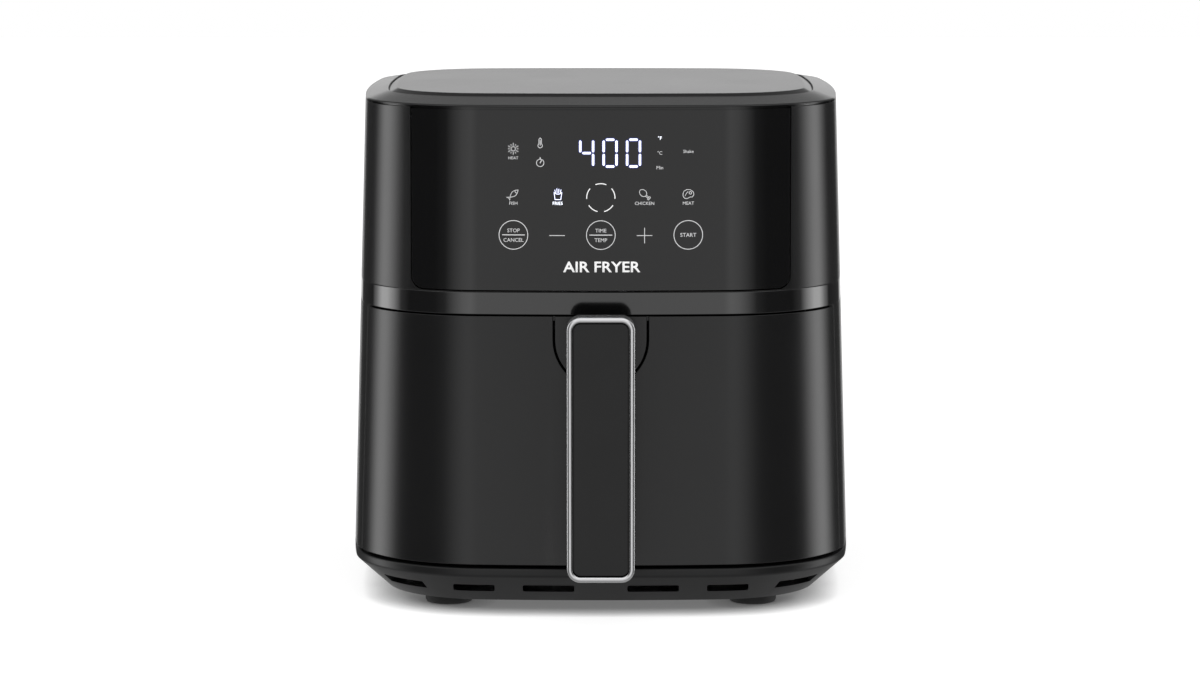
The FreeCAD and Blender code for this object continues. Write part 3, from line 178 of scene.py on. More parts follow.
@dataclass(frozen=True)
class WearGroup:
    """Shader group for the paler tone that handling leaves along edges."""

    name: str = "edge_rub"

    def build(self) -> bpy.types.NodeTree:
        """Build the group once: Vector, Breakup and Amount in, Mask out.

        Returns:
            The node group, made once and reused.
        """
        known = bpy.data.node_groups.get(self.name)
        if known:
            return known
        tree = link_group(self.name, [("Vector", "NodeSocketVector", 0), ("Breakup", "NodeSocketFloat", 60),
                                      ("Amount", "NodeSocketFloat", 0.3)], [("Mask", "NodeSocketFloat")])
        source = tree.nodes["Group Input"].outputs
        point = add_node(tree, "ShaderNodeNewGeometry")
        ramp = add_node(tree, "ShaderNodeMapRange", {"Value": point.outputs["Pointiness"],
                                                    "From Min": 0.52, "From Max": 0.6})
        noise = add_node(tree, "ShaderNodeTexNoise",
                         {"Vector": source["Vector"], "Scale": source["Breakup"], "Detail": 4.0})
        broken = add_node(tree, "ShaderNodeMath", {"0": ramp.outputs[0], "1": noise.outputs[0]},
                          operation="MULTIPLY")
        mask = add_node(tree, "ShaderNodeMath", {"0": broken.outputs[0], "1": source["Amount"]},
                        operation="MULTIPLY")
        tree.links.new(mask.outputs[0], tree.nodes["Group Output"].inputs["Mask"])
        return tree


@dataclass(frozen=True)
class Finish:
    """One surface finish, as a procedural material."""

    name: str
    colour: tuple[float, float, float]
    rough: float
    metal: float = 0.0
    coat: float = 0.0
    level: float = 0.5          # specular level of the plain surface
    grain: Grain = Grain.MOULDED
    scale: float = 900.0        # grain cells per metre
    relief: float = 0.1         # share of the bump
    drift: float = 0.12         # slow change of tone
    rough_drift: float = 0.06
    rub: float = 0.0

    def build(self) -> bpy.types.Material:
        """Make the material once and return it.

        Returns:
            The material, made once and reused.
        """
        known = bpy.data.materials.get("finish_" + self.name)
        if known:
            return known
        material = bpy.data.materials.new("finish_" + self.name)
        material.use_nodes = True
        tree = material.node_tree
        shader = tree.nodes["Principled BSDF"]
        place = add_node(tree, "ShaderNodeTexCoord")
        turned = add_node(tree, "ShaderNodeMapping", {"Vector": place.outputs["Object"],
                                                     "Scale": self.grain.value})
        grain = add_node(tree, "ShaderNodeGroup", node_tree=GrainGroup().build())
        tree.links.new(turned.outputs[0], grain.inputs["Vector"])
        grain.inputs["Scale"].default_value = self.scale
        grain.inputs["Patch"].default_value = 14.0
        wear = add_node(tree, "ShaderNodeGroup", node_tree=WearGroup().build())
        tree.links.new(place.outputs["Object"], wear.inputs["Vector"])
        wear.inputs["Breakup"].default_value = 60.0
        wear.inputs["Amount"].default_value = self.rub
        dark = tuple(c * (1 - self.drift) for c in self.colour) + (1.0,)
        pale = tuple(min(1.0, c * (1 + self.drift)) for c in self.colour) + (1.0,)
        rubbed = tuple(min(1.0, c * 1.6 + 0.06) for c in self.colour) + (1.0,)
        tone = add_node(tree, "ShaderNodeMix", {"0": grain.outputs["Cloud"]}, data_type="RGBA")
        tone.inputs[6].default_value = dark
        tone.inputs[7].default_value = pale
        worn = add_node(tree, "ShaderNodeMix", {"0": wear.outputs["Mask"]}, data_type="RGBA")
        tree.links.new(tone.outputs[2], worn.inputs[6])
        worn.inputs[7].default_value = rubbed
        tree.links.new(worn.outputs[2], shader.inputs["Base Color"])
        rough = add_node(tree, "ShaderNodeMapRange", {"Value": grain.outputs["Cloud"],
                                                     "From Min": 0.3, "From Max": 0.7,
                                                     "To Min": self.rough - self.rough_drift,
                                                     "To Max": self.rough + self.rough_drift})
        tree.links.new(rough.outputs[0], shader.inputs["Roughness"])
        bump = add_node(tree, "ShaderNodeBump", {"Strength": self.relief, "Distance": 0.0002,
                                                "Height": grain.outputs["Height"]})
        tree.links.new(bump.outputs[0], shader.inputs["Normal"])
        shader.inputs["Metallic"].default_value = self.metal
        shader.inputs["Coat Weight"].default_value = self.coat
        shader.inputs["Coat Roughness"].default_value = 0.03
        shader.inputs["Specular IOR Level"].default_value = self.level
        return material


@dataclass(frozen=True)
class Glow:
    """A lit marking, or a printed one that is given a painted glow."""

    name: str
    colour: tuple[float, float, float]
    strength: float = 0.0

    def build(self) -> bpy.types.Material:
        """Make the material once and return it.

        Returns:
            The material, made once and reused.
        """
        known = bpy.data.materials.get("mark_" + self.name)
        if known:
            return known
        material = bpy.data.materials.new("mark_" + self.name)
        material.use_nodes = True
        tree = material.node_tree
        shader = tree.nodes["Principled BSDF"]
        place = add_node(tree, "ShaderNodeTexCoord")
        noise = add_node(tree, "ShaderNodeTexNoise", {"Vector": place.outputs["Object"], "Scale": 700.0})
        tone = add_node(tree, "ShaderNodeMix", {"0": noise.outputs[0]}, data_type="RGBA")
        tone.inputs[6].default_value = tuple(c * 0.93 for c in self.colour) + (1.0,)
        tone.inputs[7].default_value = self.colour + (1.0,)
        tree.links.new(tone.outputs[2], shader.inputs["Base Color"])
        shader.inputs["Roughness"].default_value = 0.45
        # emission: the LEDs' own light, and on printed marks a painted glow
        if self.strength:
            tree.links.new(tone.outputs[2], shader.inputs["Emission Color"])
            shader.inputs["Emission Strength"].default_value = self.strength
        return material


FINISHES: dict[Slot, Finish] = {
    Slot.SATIN: Finish("satin_black", (0.0075, 0.0075, 0.0077), 0.2, level=0.38, scale=1500, relief=0.05,
                       rough_drift=0.015, rub=0.1),
    Slot.GLOSS: Finish("piano_black", (0.004, 0.004, 0.0042), 0.06, relief=0.0, rough_drift=0.01),
    Slot.PLINTH: Finish("plinth_black", (0.0075, 0.0075, 0.0077), 0.36, level=0.28, scale=1200, relief=0.12,
                        rub=0.1),
    Slot.LID: Finish("lid_satin", (0.012, 0.012, 0.0122), 0.17, scale=1500, relief=0.03, rough_drift=0.006,
                     rub=0.05),
    Slot.INNER: Finish("inner_moulding", (0.018, 0.018, 0.018), 0.5, relief=0.12, rub=0.2),
    Slot.RUBBER: Finish("foot_rubber", (0.012, 0.012, 0.012), 0.75, scale=600, relief=0.3),
    Slot.SILICONE: Finish("grey_silicone", (0.05, 0.05, 0.052), 0.6, scale=700, relief=0.15),
    Slot.ZINC: Finish("zinc_plate", (0.6, 0.6, 0.58), 0.35, 1.0, scale=500, relief=0.1, rub=0.3),
    Slot.TRIM: Finish("satin_bright", (0.66, 0.66, 0.67), 0.24, 1.0, grain=Grain.BRUSHED_UP,
                      scale=1600, relief=0.05, drift=0.04),
    Slot.GALVANISED: Finish("galvanised", (0.5, 0.51, 0.52), 0.4, 1.0, scale=160, relief=0.1, drift=0.22),
    Slot.ALUMINISED: Finish("aluminised", (0.6, 0.6, 0.6), 0.38, 1.0, grain=Grain.BRUSHED_ACROSS,
                            scale=900, relief=0.1, drift=0.15),
    Slot.NONSTICK: Finish("nonstick", (0.016, 0.016, 0.017), 0.36, scale=1400, relief=0.2, drift=0.2,
                          rub=0.5),
    Slot.ELEMENT: Finish("element_sheath", (0.16, 0.14, 0.13), 0.45, 0.9, scale=500, relief=0.2, drift=0.4),
    Slot.BOARD: Finish("board_green", (0.012, 0.11, 0.04), 0.3, scale=400, relief=0.2, drift=0.25),
    Slot.COMPONENTS: Finish("component_black", (0.02, 0.02, 0.024), 0.45, relief=0.1),
    Slot.WHITE: Finish("white_moulding", (0.75, 0.75, 0.73), 0.45, relief=0.1),
    Slot.COPPER: Finish("copper_winding", (0.5, 0.2, 0.08), 0.35, 0.9, grain=Grain.BRUSHED_ACROSS,
                        scale=1800, relief=0.6, drift=0.3),
    Slot.MOTOR: Finish("lamination", (0.25, 0.25, 0.26), 0.5, 0.9, grain=Grain.BRUSHED_ACROSS,
                       scale=1400, relief=0.4),
    Slot.BRONZE: Finish("sintered_bronze", (0.45, 0.3, 0.13), 0.5, 1.0, relief=0.3),
    Slot.SHAFT: Finish("ground_steel", (0.65, 0.65, 0.66), 0.16, 1.0, relief=0.03),
    Slot.CERAMIC: Finish("ceramic", (0.78, 0.75, 0.68), 0.6, relief=0.15),
    Slot.FAN: Finish("pressed_aluminium", (0.62, 0.62, 0.63), 0.32, 1.0, grain=Grain.BRUSHED_ACROSS,
                     scale=700, relief=0.12, drift=0.12),
}
BAND_GLOSS = Finish("band_gloss", (0.004, 0.004, 0.0042), 0.07, level=0.95, relief=0.0, rough_drift=0.01)
SHOULDER_SATIN = Finish("shoulder_satin", (0.0075, 0.0075, 0.0077), 0.15, scale=1500, relief=0.03,
                        rough_drift=0.006)
LED_WHITE = Glow("led_white", (0.86, 0.9, 1.0), 1.6)
LED_HALO = Glow("led_halo", (0.03, 0.04, 0.17), 0.8)
# printed grey and white marks glow slightly: a painted glow on the print, not a lamp
PRINT_GREY_WITH_GLOW = Glow("print_grey_painted_glow", (0.74, 0.74, 0.75), 0.12)
PRINT_WHITE_WITH_GLOW = Glow("print_white_painted_glow", (0.95, 0.95, 0.95), 0.25)


# ---------------------------------------------------------------- mesh helpers
def finish_piece(mesh: bpy.types.Mesh, name: str, body: str, slot: Slot, nodes: Sequence[str] = (),
                 material: bpy.types.Material | None = None) -> bpy.types.Object:
    """Put a finished mesh in the scene, dressed and riding on its body.

    Args:
        mesh: the mesh, in place.
        name: the piece's name.
        body: the body that it rides on.
        slot: the material slot it takes its finish from.
        nodes: frame nodes that it stands for.
        material: another material than the slot's own.

    Returns:
        The new object.
    """
    mesh.name = name
    piece = bpy.data.objects.new(name, mesh)
    bpy.context.scene.collection.objects.link(piece)
    mesh.materials.clear()
    mesh.materials.append(material or FINISHES[slot].build())
    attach(piece, body)
    if nodes:
        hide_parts(*nodes)
    log.info("%s: %d faces on %s", name, len(mesh.polygons), body)
    return piece


def smooth(mesh: bpy.types.Mesh, angle: float = 32.0) -> bpy.types.Mesh:
    """Shade smooth, with wide faces kept flat beside their rounded edges.

    Args:
        mesh: the mesh, which is used up.
        angle: edges sharper than this, in degrees, stay sharp.

    Returns:
        A plain mesh with area-weighted normals.
    """
    mesh.polygons.foreach_set("use_smooth", [True] * len(mesh.polygons))
    mesh.set_sharp_from_angle(angle=math.radians(angle))
    piece = bpy.data.objects.new("work", mesh)
    bpy.context.scene.collection.objects.link(piece)
    even = piece.modifiers.new("even", "WEIGHTED_NORMAL")
    even.keep_sharp = True
    result = bpy.data.meshes.new_from_object(piece.evaluated_get(bpy.context.evaluated_depsgraph_get()))
    bpy.data.objects.remove(piece)
    bpy.data.meshes.remove(mesh)
    return result


def mesh_from_rings(rings: Sequence[Sequence[Vector]], closed: bool, wrap: bool,
                    name: str = "rings") -> bpy.types.Mesh:
    """Skin a list of rings of equal length.

    Args:
        rings: points of each ring.
        closed: each ring is a closed loop.
        wrap: the last ring joins the first; otherwise the ends are capped.
        name: the mesh's name.

    Returns:
        A closed mesh with outward faces.
    """
    work = bmesh.new()
    rows = [[work.verts.new(p) for p in ring] for ring in rings]
    count = len(rows[0])
    spans = count if closed else count - 1
    for i in range(len(rows) if wrap else len(rows) - 1):
        low = rows[i]
        high = rows[(i + 1) % len(rows)]
        for j in range(spans):
            k = (j + 1) % count
            work.faces.new((low[j], low[k], high[k], high[j]))
    if not wrap:
        work.faces.new(rows[0])
        work.faces.new(rows[-1])
    if not closed:
        work.faces.new([row[0] for row in rows])
        work.faces.new([row[-1] for row in rows])
    bmesh.ops.recalc_face_normals(work, faces=work.faces)
    mesh = bpy.data.meshes.new(name)
    work.to_mesh(mesh)
    work.free()
    return mesh


def rounded(corners: Sequence[Point2], radii: float | Sequence[float], steps: int = 3) -> list[Point2]:
    """Round the corners of a closed outline with arcs.

    Args:
        corners: the outline's corner points.
        radii: one radius, or one for each corner.
        steps: spans in each arc.

    Returns:
        The outline's points.
    """
    count = len(corners)
    sizes = [radii] * count if isinstance(radii, (int, float)) else list(radii)
    points: list[Point2] = []
    for i, corner in enumerate(corners):
        here = Vector(corner)
        before = Vector(corners[i - 1]) - here
        after = Vector(corners[(i + 1) % count]) - here
        if sizes[i] <= 0:
            points.append(tuple(here))
            continue
        half = before.angle(after) / 2
        run = min(sizes[i] / math.tan(half), before.length * 0.48, after.length * 0.48)
        radius = run * math.tan(half)
        middle = here + (before.normalized() + after.normalized()).normalized() * (radius / math.sin(half))
        start = here + before.normalized() * run - middle
        end = here + after.normalized() * run - middle
        turn = start.angle_signed(end)
        for step in range(steps + 1):
            a = -turn * step / steps
            c, s = math.cos(a), math.sin(a)
            points.append((middle.x + c * start.x - s * start.y, middle.y + s * start.x + c * start.y))
    return points


def prism(outline: Sequence[Point2], place: Callable[[float, float, float], Vector], low: float,
          high: float) -> bpy.types.Mesh:
    """Extrude a flat outline between two levels through a placing function."""
    return mesh_from_rings([[place(u, v, level) for u, v in outline] for level in (low, high)], True, False)


def front_place(u: float, v: float, level: float) -> Vector:
    """Outline coordinates are X and Z, and the level is Y."""
    return Vector((u, level, v))


def plan_place(u: float, v: float, level: float) -> Vector:
    """Outline coordinates are X and Y, and the level is Z."""
    return Vector((u, v, level))


def combine(base: bpy.types.Mesh, others: Sequence[bpy.types.Mesh], operation: str,
            bevel: float = 0.0) -> bpy.types.Mesh:
    """Apply one boolean for each other mesh, then soften the sharp edges.

    Args:
        base: the mesh that is kept.
        others: meshes used in turn.
        operation: UNION, DIFFERENCE or INTERSECT.
        bevel: width of the softened edge, or 0.

    Returns:
        The resulting plain mesh.
    """
    piece = bpy.data.objects.new("work", base)
    bpy.context.scene.collection.objects.link(piece)
    helpers = []
    for other in others:
        helper = bpy.data.objects.new("cutter", other)
        bpy.context.scene.collection.objects.link(helper)
        helpers.append(helper)
        step = piece.modifiers.new("cut", "BOOLEAN")
        step.operation = operation
        step.solver = "EXACT"
        step.object = helper
    if bevel:
        soft = piece.modifiers.new("soft", "BEVEL")
        soft.width = bevel
        soft.segments = 2
        soft.limit_method = "ANGLE"
        soft.angle_limit = math.radians(50)
        soft.use_clamp_overlap = True
    result = bpy.data.meshes.new_from_object(piece.evaluated_get(bpy.context.evaluated_depsgraph_get()))
    for item in [piece, *helpers]:
        data = item.data
        bpy.data.objects.remove(item)
        bpy.data.meshes.remove(data)
    return result


def soft_copy(node: str, bevel: float = 0.3 * MM) -> bpy.types.Mesh:
    """Merged copy of a frame node with its sharp edges softened.

    Args:
        node: name of the frame node to copy.
        bevel: width of the softened edges.

    Returns:
        A new mesh; the node itself is left alone.
    """
    work = bmesh.new()
    work.from_mesh(frame["nodes"][node].data)
    bmesh.ops.remove_doubles(work, verts=work.verts, dist=1e-6)
    bmesh.ops.dissolve_limit(work, angle_limit=math.radians(0.4), verts=work.verts, edges=work.edges)
    copy = bpy.data.meshes.new(node + "_soft")
    work.to_mesh(copy)
    work.free()
    return smooth(combine(copy, [], "UNION", bevel))


def low(node: str, axis: int) -> float:
    """Lowest coordinate of a frame node along an axis."""
    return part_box(node)[0][axis]


def high(node: str, axis: int) -> float:
    """Highest coordinate of a frame node along an axis."""
    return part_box(node)[1][axis]


# ---------------------------------------------------------------- plan shapes
@dataclass(frozen=True)
class BowedPlan:
    """Plan of four bowed sides and four corner arcs, with its walls leaning in."""

    half_w: float
    half_d: float
    corner_r: float
    bow_f: float
    bow_s: float
    mid_y: float
    base_z: float = 0.0
    taper: float = 0.0
    corner_steps: int = 20
    front_steps: int = 12
    side_steps: int = 12

    def corner(self) -> Point2:
        """Centre of the rear right corner arc, from the plan's middle.

        Returns:
            X and Y of the centre, from the plan's middle.
        """
        bow_x, bow_y = self.half_w - self.bow_s, self.half_d - self.bow_f
        reach_f, reach_s = self.bow_f - self.corner_r, self.bow_s - self.corner_r
        span = math.hypot(bow_x, bow_y)
        along = (reach_f ** 2 - reach_s ** 2 + span ** 2) / (2 * span)
        across = math.sqrt(reach_f ** 2 - along ** 2)
        ux, uy = bow_x / span, -bow_y / span
        return ux * along + uy * across, bow_y + uy * along - ux * across

    def depth(self, inset: float, z: float) -> float:
        """How far the plan has moved in at height z."""
        return inset + self.taper * max(z - self.base_z, 0.0)

    def quarter(self, d: float, split: float | None = None) -> list[Point2]:
        """Points from the middle of the back round to the middle of the right side.

        Args:
            d: how far the plan has moved in.
            split: distance behind the middle where the run stops, in the corner arc.

        Returns:
            Points from the plan's middle, in the rear right quarter.
        """
        cx, cy = self.corner()
        bow_y = self.half_d - self.bow_f
        bow_x = self.half_w - self.bow_s
        top = math.atan2(cx, cy - bow_y)
        side = math.atan2(cy, cx - bow_x)
        points = []
        for i in range(self.front_steps):
            a = top * i / self.front_steps
            points.append(((self.bow_f - d) * math.sin(a), bow_y + (self.bow_f - d) * math.cos(a)))
        stop = side if split is None else math.asin((split - cy) / (self.corner_r - d))
        start = math.pi / 2 - top
        for i in range(self.corner_steps + 1):
            a = start + (stop - start) * i / self.corner_steps
            points.append((cx + (self.corner_r - d) * math.cos(a), cy + (self.corner_r - d) * math.sin(a)))
        if split is None:
            for i in range(1, self.side_steps + 1):
                a = side * (1 - i / self.side_steps)
                points.append((bow_x + (self.bow_s - d) * math.cos(a), (self.bow_s - d) * math.sin(a)))
        return points

    def loop(self, inset: float, z: float) -> list[Vector]:
        """The whole closed outline at height z.

        Args:
            inset: how far inside the outer face.
            z: height of the outline.

        Returns:
            Points in order round the plan.
        """
        q = self.quarter(self.depth(inset, z))
        right = q + [(x, -y) for x, y in reversed(q[:-1])]
        left = [(-x, y) for x, y in reversed(right[1:-1])]
        return [Vector((x, self.mid_y + y, z)) for x, y in right + left]

    def front_run(self, inset: float, z: float, split: float) -> list[Vector]:
        """The open outline of the front, from the left split to the right one.

        Args:
            inset: how far inside the outer face.
            z: height of the outline.
            split: distance in front of the middle where the run stops.

        Returns:
            Points from the left split to the right one.
        """
        q = self.quarter(self.depth(inset, z), split)
        half = [(x, -y) for x, y in q]
        return [Vector((x, self.mid_y + y, z)) for x, y in [(-x, y) for x, y in reversed(half[1:])] + half]

    def front_y(self, x: float, z: float, inset: float = 0.0) -> float:
        """Y of the front face at x and z.

        Args:
            x: distance from the middle plane.
            z: height of the point.
            inset: how far inside the outer face.

        Returns:
            Y of the point.
        """
        d = self.depth(inset, z)
        cx, cy = self.corner()
        reach = cx * self.bow_f / (self.bow_f - self.corner_r)
        if abs(x) <= reach:
            return self.mid_y - self.half_d + self.bow_f - math.sqrt((self.bow_f - d) ** 2 - x * x)
        return self.mid_y - cy - math.sqrt((self.corner_r - d) ** 2 - (abs(x) - cx) ** 2)


def body_plan() -> BowedPlan:
    """The housing's plan, with its overall sizes taken from the frame.

    Returns:
        The plan, with its taper starting at the top of the base pan.
    """
    near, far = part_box("base_pan")
    return BowedPlan((far.x - near.x) / 2, (far.y - near.y) / 2, 84 * MM, 970 * MM, 1010 * MM,
                     (far.y + near.y) / 2, far.z, 0.030)


BODY = body_plan()
LID = BowedPlan((high("lid_panel", 0) - low("lid_panel", 0)) / 2,
                (high("lid_panel", 1) - low("lid_panel", 1)) / 2,
                62 * MM, 970 * MM, 1010 * MM, BODY.mid_y)
EDGE = 0.45 * MM
WALL = 2.6 * MM


def swept_loop(plan: BowedPlan, profile: Sequence[Point2]) -> bpy.types.Mesh:
    """Carry a closed profile of (inset, z) points all the way round a plan."""
    return mesh_from_rings([plan.loop(d, z) for d, z in profile], True, True)


def wall_profile(z0: float, z1: float, wall: float = WALL, edge: float = EDGE,
                 inset: float = 0.0) -> list[Point2]:
    """Closed profile of a plain upright wall with softened outer edges."""
    corners = [(inset, z0), (inset, z1), (inset + wall, z1), (inset + wall, z0)]
    return rounded(corners, [edge, edge, 0, 0])


# ---------------------------------------------------------------- housing
@dataclass
class Plinth:
    """The base pan with its vents, and the rubber feet."""

    chamfer_in: float = 20 * MM
    lip: float = 5 * MM
    wall: float = 3.7 * MM
    floor: float = 2.6 * MM
    vent_z: float = 14 * MM
    vent_h: float = 4.8 * MM
    vent_spans: tuple[Point2, ...] = ((16 * MM, 47 * MM), (64 * MM, 89 * MM))
    corner_vent: float = math.radians(26)
    foot_r: float = 14.5 * MM
    foot_x: float = 93 * MM
    foot_y: float = 110 * MM

    def pan(self) -> bpy.types.Mesh:
        """Build the pan and cut its vents.

        Returns:
            The pan's mesh.
        """
        z0, z1 = low("base_pan", 2), high("base_pan", 2)
        lip_z = z1 - self.lip
        outer = [(self.chamfer_in + 2 * MM, z0), (self.chamfer_in, z0 + 0.4 * MM),
                 (1.2 * MM, lip_z - 1.0 * MM),
                 (0.25 * MM, lip_z), (0.1 * MM, lip_z + 0.6 * MM), (0.0, lip_z + 1.2 * MM), (0.0,
                                                                                             z1 - 1.4 * MM),
                 (0.35 * MM, z1 - 0.5 * MM), (1.1 * MM, z1)]
        inner = [(self.wall, z1), (self.wall, lip_z),
                 (self.chamfer_in + self.wall - self.floor, z0 + self.floor)]
        mesh = mesh_from_rings([BODY.loop(d, z) for d, z in outer + inner], True, False)
        reach = 0.2
        cutters = []
        for near, far in self.vent_spans:
            for a, b in ((near, far), (-far, -near)):
                across = rounded([(a, self.vent_z), (b, self.vent_z), (b, self.vent_z + self.vent_h),
                                  (a, self.vent_z + self.vent_h)], 1.0 * MM)
                cutters.append(prism(across, front_place, -reach, reach + BODY.mid_y * 2))
                cutters.append(prism(across, lambda u, v, level: Vector((level, BODY.mid_y + u, v)), -reach,
                                     reach))
        cx, cy = BODY.corner()
        for sx in (-1, 1):
            for sy in (-1, 1):
                cutters.append(self.corner_cutter(sx, sy, cx, cy))
        return smooth(combine(mesh, cutters, "DIFFERENCE", 0.25 * MM), 40)

    def corner_cutter(self, sx: int, sy: int, cx: float, cy: float) -> bpy.types.Mesh:
        """Arc-shaped cutter for the vent at one corner.

        Args:
            sx: side of the corner, -1 or 1.
            sy: end of the corner, -1 or 1.
            cx: X of the corner arc's centre.
            cy: Y of the corner arc's centre.

        Returns:
            The cutter's mesh.
        """
        steps = 8
        radii = (BODY.corner_r - 40 * MM, BODY.corner_r + 5 * MM)
        middle = math.atan2(sy, sx)
        turns = [middle - self.corner_vent / 2 + self.corner_vent * i / steps for i in range(steps + 1)]
        outline = [(radii[1] * math.cos(a), radii[1] * math.sin(a)) for a in turns]
        outline += [(radii[0] * math.cos(a), radii[0] * math.sin(a)) for a in reversed(turns)]
        placed = [(sx * cx + u, BODY.mid_y + sy * cy + v) for u, v in outline]
        return prism(placed, plan_place, self.vent_z, self.vent_z + self.vent_h)

    def feet(self) -> bpy.types.Mesh:
        """Build the four ribbed rubber feet as one mesh.

        Returns:
            The four feet, in one mesh.
        """
        top = low("base_pan", 2)
        profile = [(0.0, 0.6 * MM), (9 * MM, 0.6 * MM), (9.5 * MM, 0.0), (12.6 * MM, 0.0),
                   (13.9 * MM, 0.5 * MM),
                   (self.foot_r, 1.9 * MM), (self.foot_r, top - 0.8 * MM), (self.foot_r - 0.6 * MM, top)]
        centre = [(x, y) for x in (-self.foot_x, self.foot_x)
                  for y in (BODY.mid_y - self.foot_y, BODY.mid_y + self.foot_y)]
        work = bmesh.new()
        for x, y in centre:
            rings = [[Vector((x + r * math.cos(a), y + r * math.sin(a), z)) for a in
                      [2 * math.pi * i / 48 for i in range(48)]] for r, z in profile[1:]]
            part = mesh_from_rings(rings, True, False)
            work.from_mesh(part)
            bpy.data.meshes.remove(part)
        mesh = bpy.data.meshes.new("feet")
        work.to_mesh(mesh)
        work.free()
        return smooth(mesh, 40)

    def build(self) -> None:
        """Place the plinth's pieces."""
        finish_piece(self.pan(), "plinth", "housing", Slot.PLINTH, ["base_pan"])
        finish_piece(self.feet(), "feet", "housing", Slot.RUBBER, ["rubber_feet"])


@dataclass
class Shells:
    """The fixed outer shells: sides, rear, accent band, upper shell and top cover."""

    band_wall: float = 3.0 * MM
    rear_half: float = 84 * MM
    seam: float = 0.2 * MM
    window_half: float = 113.8 * MM
    window_r: float = 7.8 * MM
    groove: float = 0.6 * MM
    shoulder_drop: float = 4.6 * MM

    def lower(self) -> None:
        """Side shells and rear panel, with a fine seam between them."""
        z0, z1 = low("side_shells", 2), high("side_shells", 2)
        ring = swept_loop(BODY, wall_profile(z0, z1))
        front = low("side_shells", 1)
        cut_front = box_mesh((-0.3, -0.4, 0), (0.3, front, 0.5))
        seam_cut = box_mesh((-self.rear_half - self.seam, BODY.mid_y, 0),
                            (self.rear_half + self.seam, 0.3, 0.5))
        sides = combine(ring, [cut_front, seam_cut], "DIFFERENCE", 0.3 * MM)
        finish_piece(smooth(sides, 40), "side_panels", "housing", Slot.SATIN, ["side_shells"])
        ring = swept_loop(BODY, wall_profile(z0, z1))
        keep = box_mesh((-self.rear_half, BODY.mid_y, 0), (self.rear_half, 0.3, 0.5))
        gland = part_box("cord_gland")
        x, z = (gland[0].x + gland[1].x) / 2, (gland[0].z + gland[1].z) / 2
        hole = prism([(x + 9 * MM * math.cos(a), z + 9 * MM * math.sin(a))
                      for a in [2 * math.pi * i / 40 for i in range(40)]], front_place, 0.1, 0.3)
        panel = combine(combine(ring, [keep], "INTERSECT"), [hole], "DIFFERENCE", 0.3 * MM)
        finish_piece(smooth(panel, 40), "rear_cover", "housing", Slot.SATIN, ["rear_panel"])

    def band(self) -> None:
        """The polished band that runs all round."""
        profile = wall_profile(low("accent_band", 2), high("accent_band", 2), self.band_wall, 0.5 * MM)
        mesh = smooth(swept_loop(BODY, profile), 40)
        finish_piece(mesh, "gloss_band", "housing", Slot.GLOSS, ["accent_band"], BAND_GLOSS.build())

    def upper(self) -> None:
        """Upper shell with the panel's window and the rear opening."""
        z0, z1 = low("upper_shell", 2), high("upper_shell", 2)
        ring = swept_loop(BODY, wall_profile(z0, z1))
        outline = rounded([(-self.window_half, z0 + 0.5 * MM), (self.window_half, z0 + 0.5 * MM),
                           (self.window_half, z1 + 0.02), (-self.window_half, z1 + 0.02)],
                          [self.window_r, self.window_r, 0, 0], 8)
        window = prism(outline, front_place, low("upper_shell", 1) - 0.02, BODY.mid_y - 60 * MM)
        g0, g1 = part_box("exhaust_grille")
        rear = box_mesh((g0.x + 4 * MM, BODY.mid_y + 0.1, g0.z + 4 * MM),
                        (g1.x - 4 * MM, 0.3, g1.z - 4 * MM))
        shell = combine(ring, [window, rear], "DIFFERENCE", 0.3 * MM)
        finish_piece(smooth(shell, 40), "upper_housing", "housing", Slot.SATIN, ["upper_shell"])

    def top(self) -> None:
        """Rounded shoulder cover and the lid plate in its pocket."""
        z0 = high("upper_shell", 2) + 0.8 * MM
        lid_low, lid_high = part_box("lid_panel")
        lip = lid_low.z + 2.3 * MM
        rise = 1.0 * MM
        rings = [BODY.loop(0.4 * MM, z0), BODY.loop(0.0, z0 + 0.3 * MM)]
        steps = 8
        for i in range(1, steps + 1):
            a = math.radians(80) * i / steps
            rings.append(BODY.loop(self.shoulder_drop * 0.35 * (1 - math.cos(a)),
                                   z0 + 0.3 * MM + rise * math.sin(a)))
        rings.append(LID.loop(-self.groove - 0.8 * MM, lip - 0.05 * MM))
        rings.append(LID.loop(-self.groove - 0.2 * MM, lip - 0.15 * MM))
        rings.append(LID.loop(-self.groove, lip - 0.6 * MM))
        rings.append(LID.loop(-self.groove, lid_low.z))
        rings.append(LID.loop(20 * MM, lid_low.z))
        rings.append(LID.loop(20 * MM, lid_low.z - WALL))
        rings.append(BODY.loop(2 * WALL, lid_low.z - WALL - 0.1 * MM))
        rings.append(BODY.loop(2 * WALL, z0 - 6 * MM))
        rings.append(BODY.loop(WALL + 0.1 * MM, z0 - 6 * MM))
        rings.append(BODY.loop(WALL + 0.1 * MM, z0))
        mesh = smooth(mesh_from_rings(rings, True, True), 28)
        finish_piece(mesh, "shoulder_cover", "housing", Slot.SATIN, ["top_cover"], SHOULDER_SATIN.build())
        chamfer = lid_high.z - 2.3 * MM
        steps_in = [(0.3 * MM, lid_low.z), (0.0, lid_low.z + 0.3 * MM), (0.0, chamfer - 0.25 * MM),
                    (0.2 * MM, chamfer), (4.5 * MM, lid_high.z - 0.12 * MM), (5.0 * MM, lid_high.z)]
        mesh = smooth(mesh_from_rings([LID.loop(d, z) for d, z in steps_in], True, False), 12)
        finish_piece(mesh, "lid", "housing", Slot.LID, ["lid_panel"])

    def build(self) -> None:
        """Place every shell."""
        self.lower()
        self.band()
        self.upper()
        self.top()


def box_mesh(low_corner: tuple[float, float, float],
             high_corner: tuple[float, float, float]) -> bpy.types.Mesh:
    """A plain block, used only as a cutter."""
    (x0, y0, z0), (x1, y1, z1) = low_corner, high_corner
    return prism([(x0, y0), (x1, y0), (x1, y1), (x0, y1)], plan_place, z0, z1)


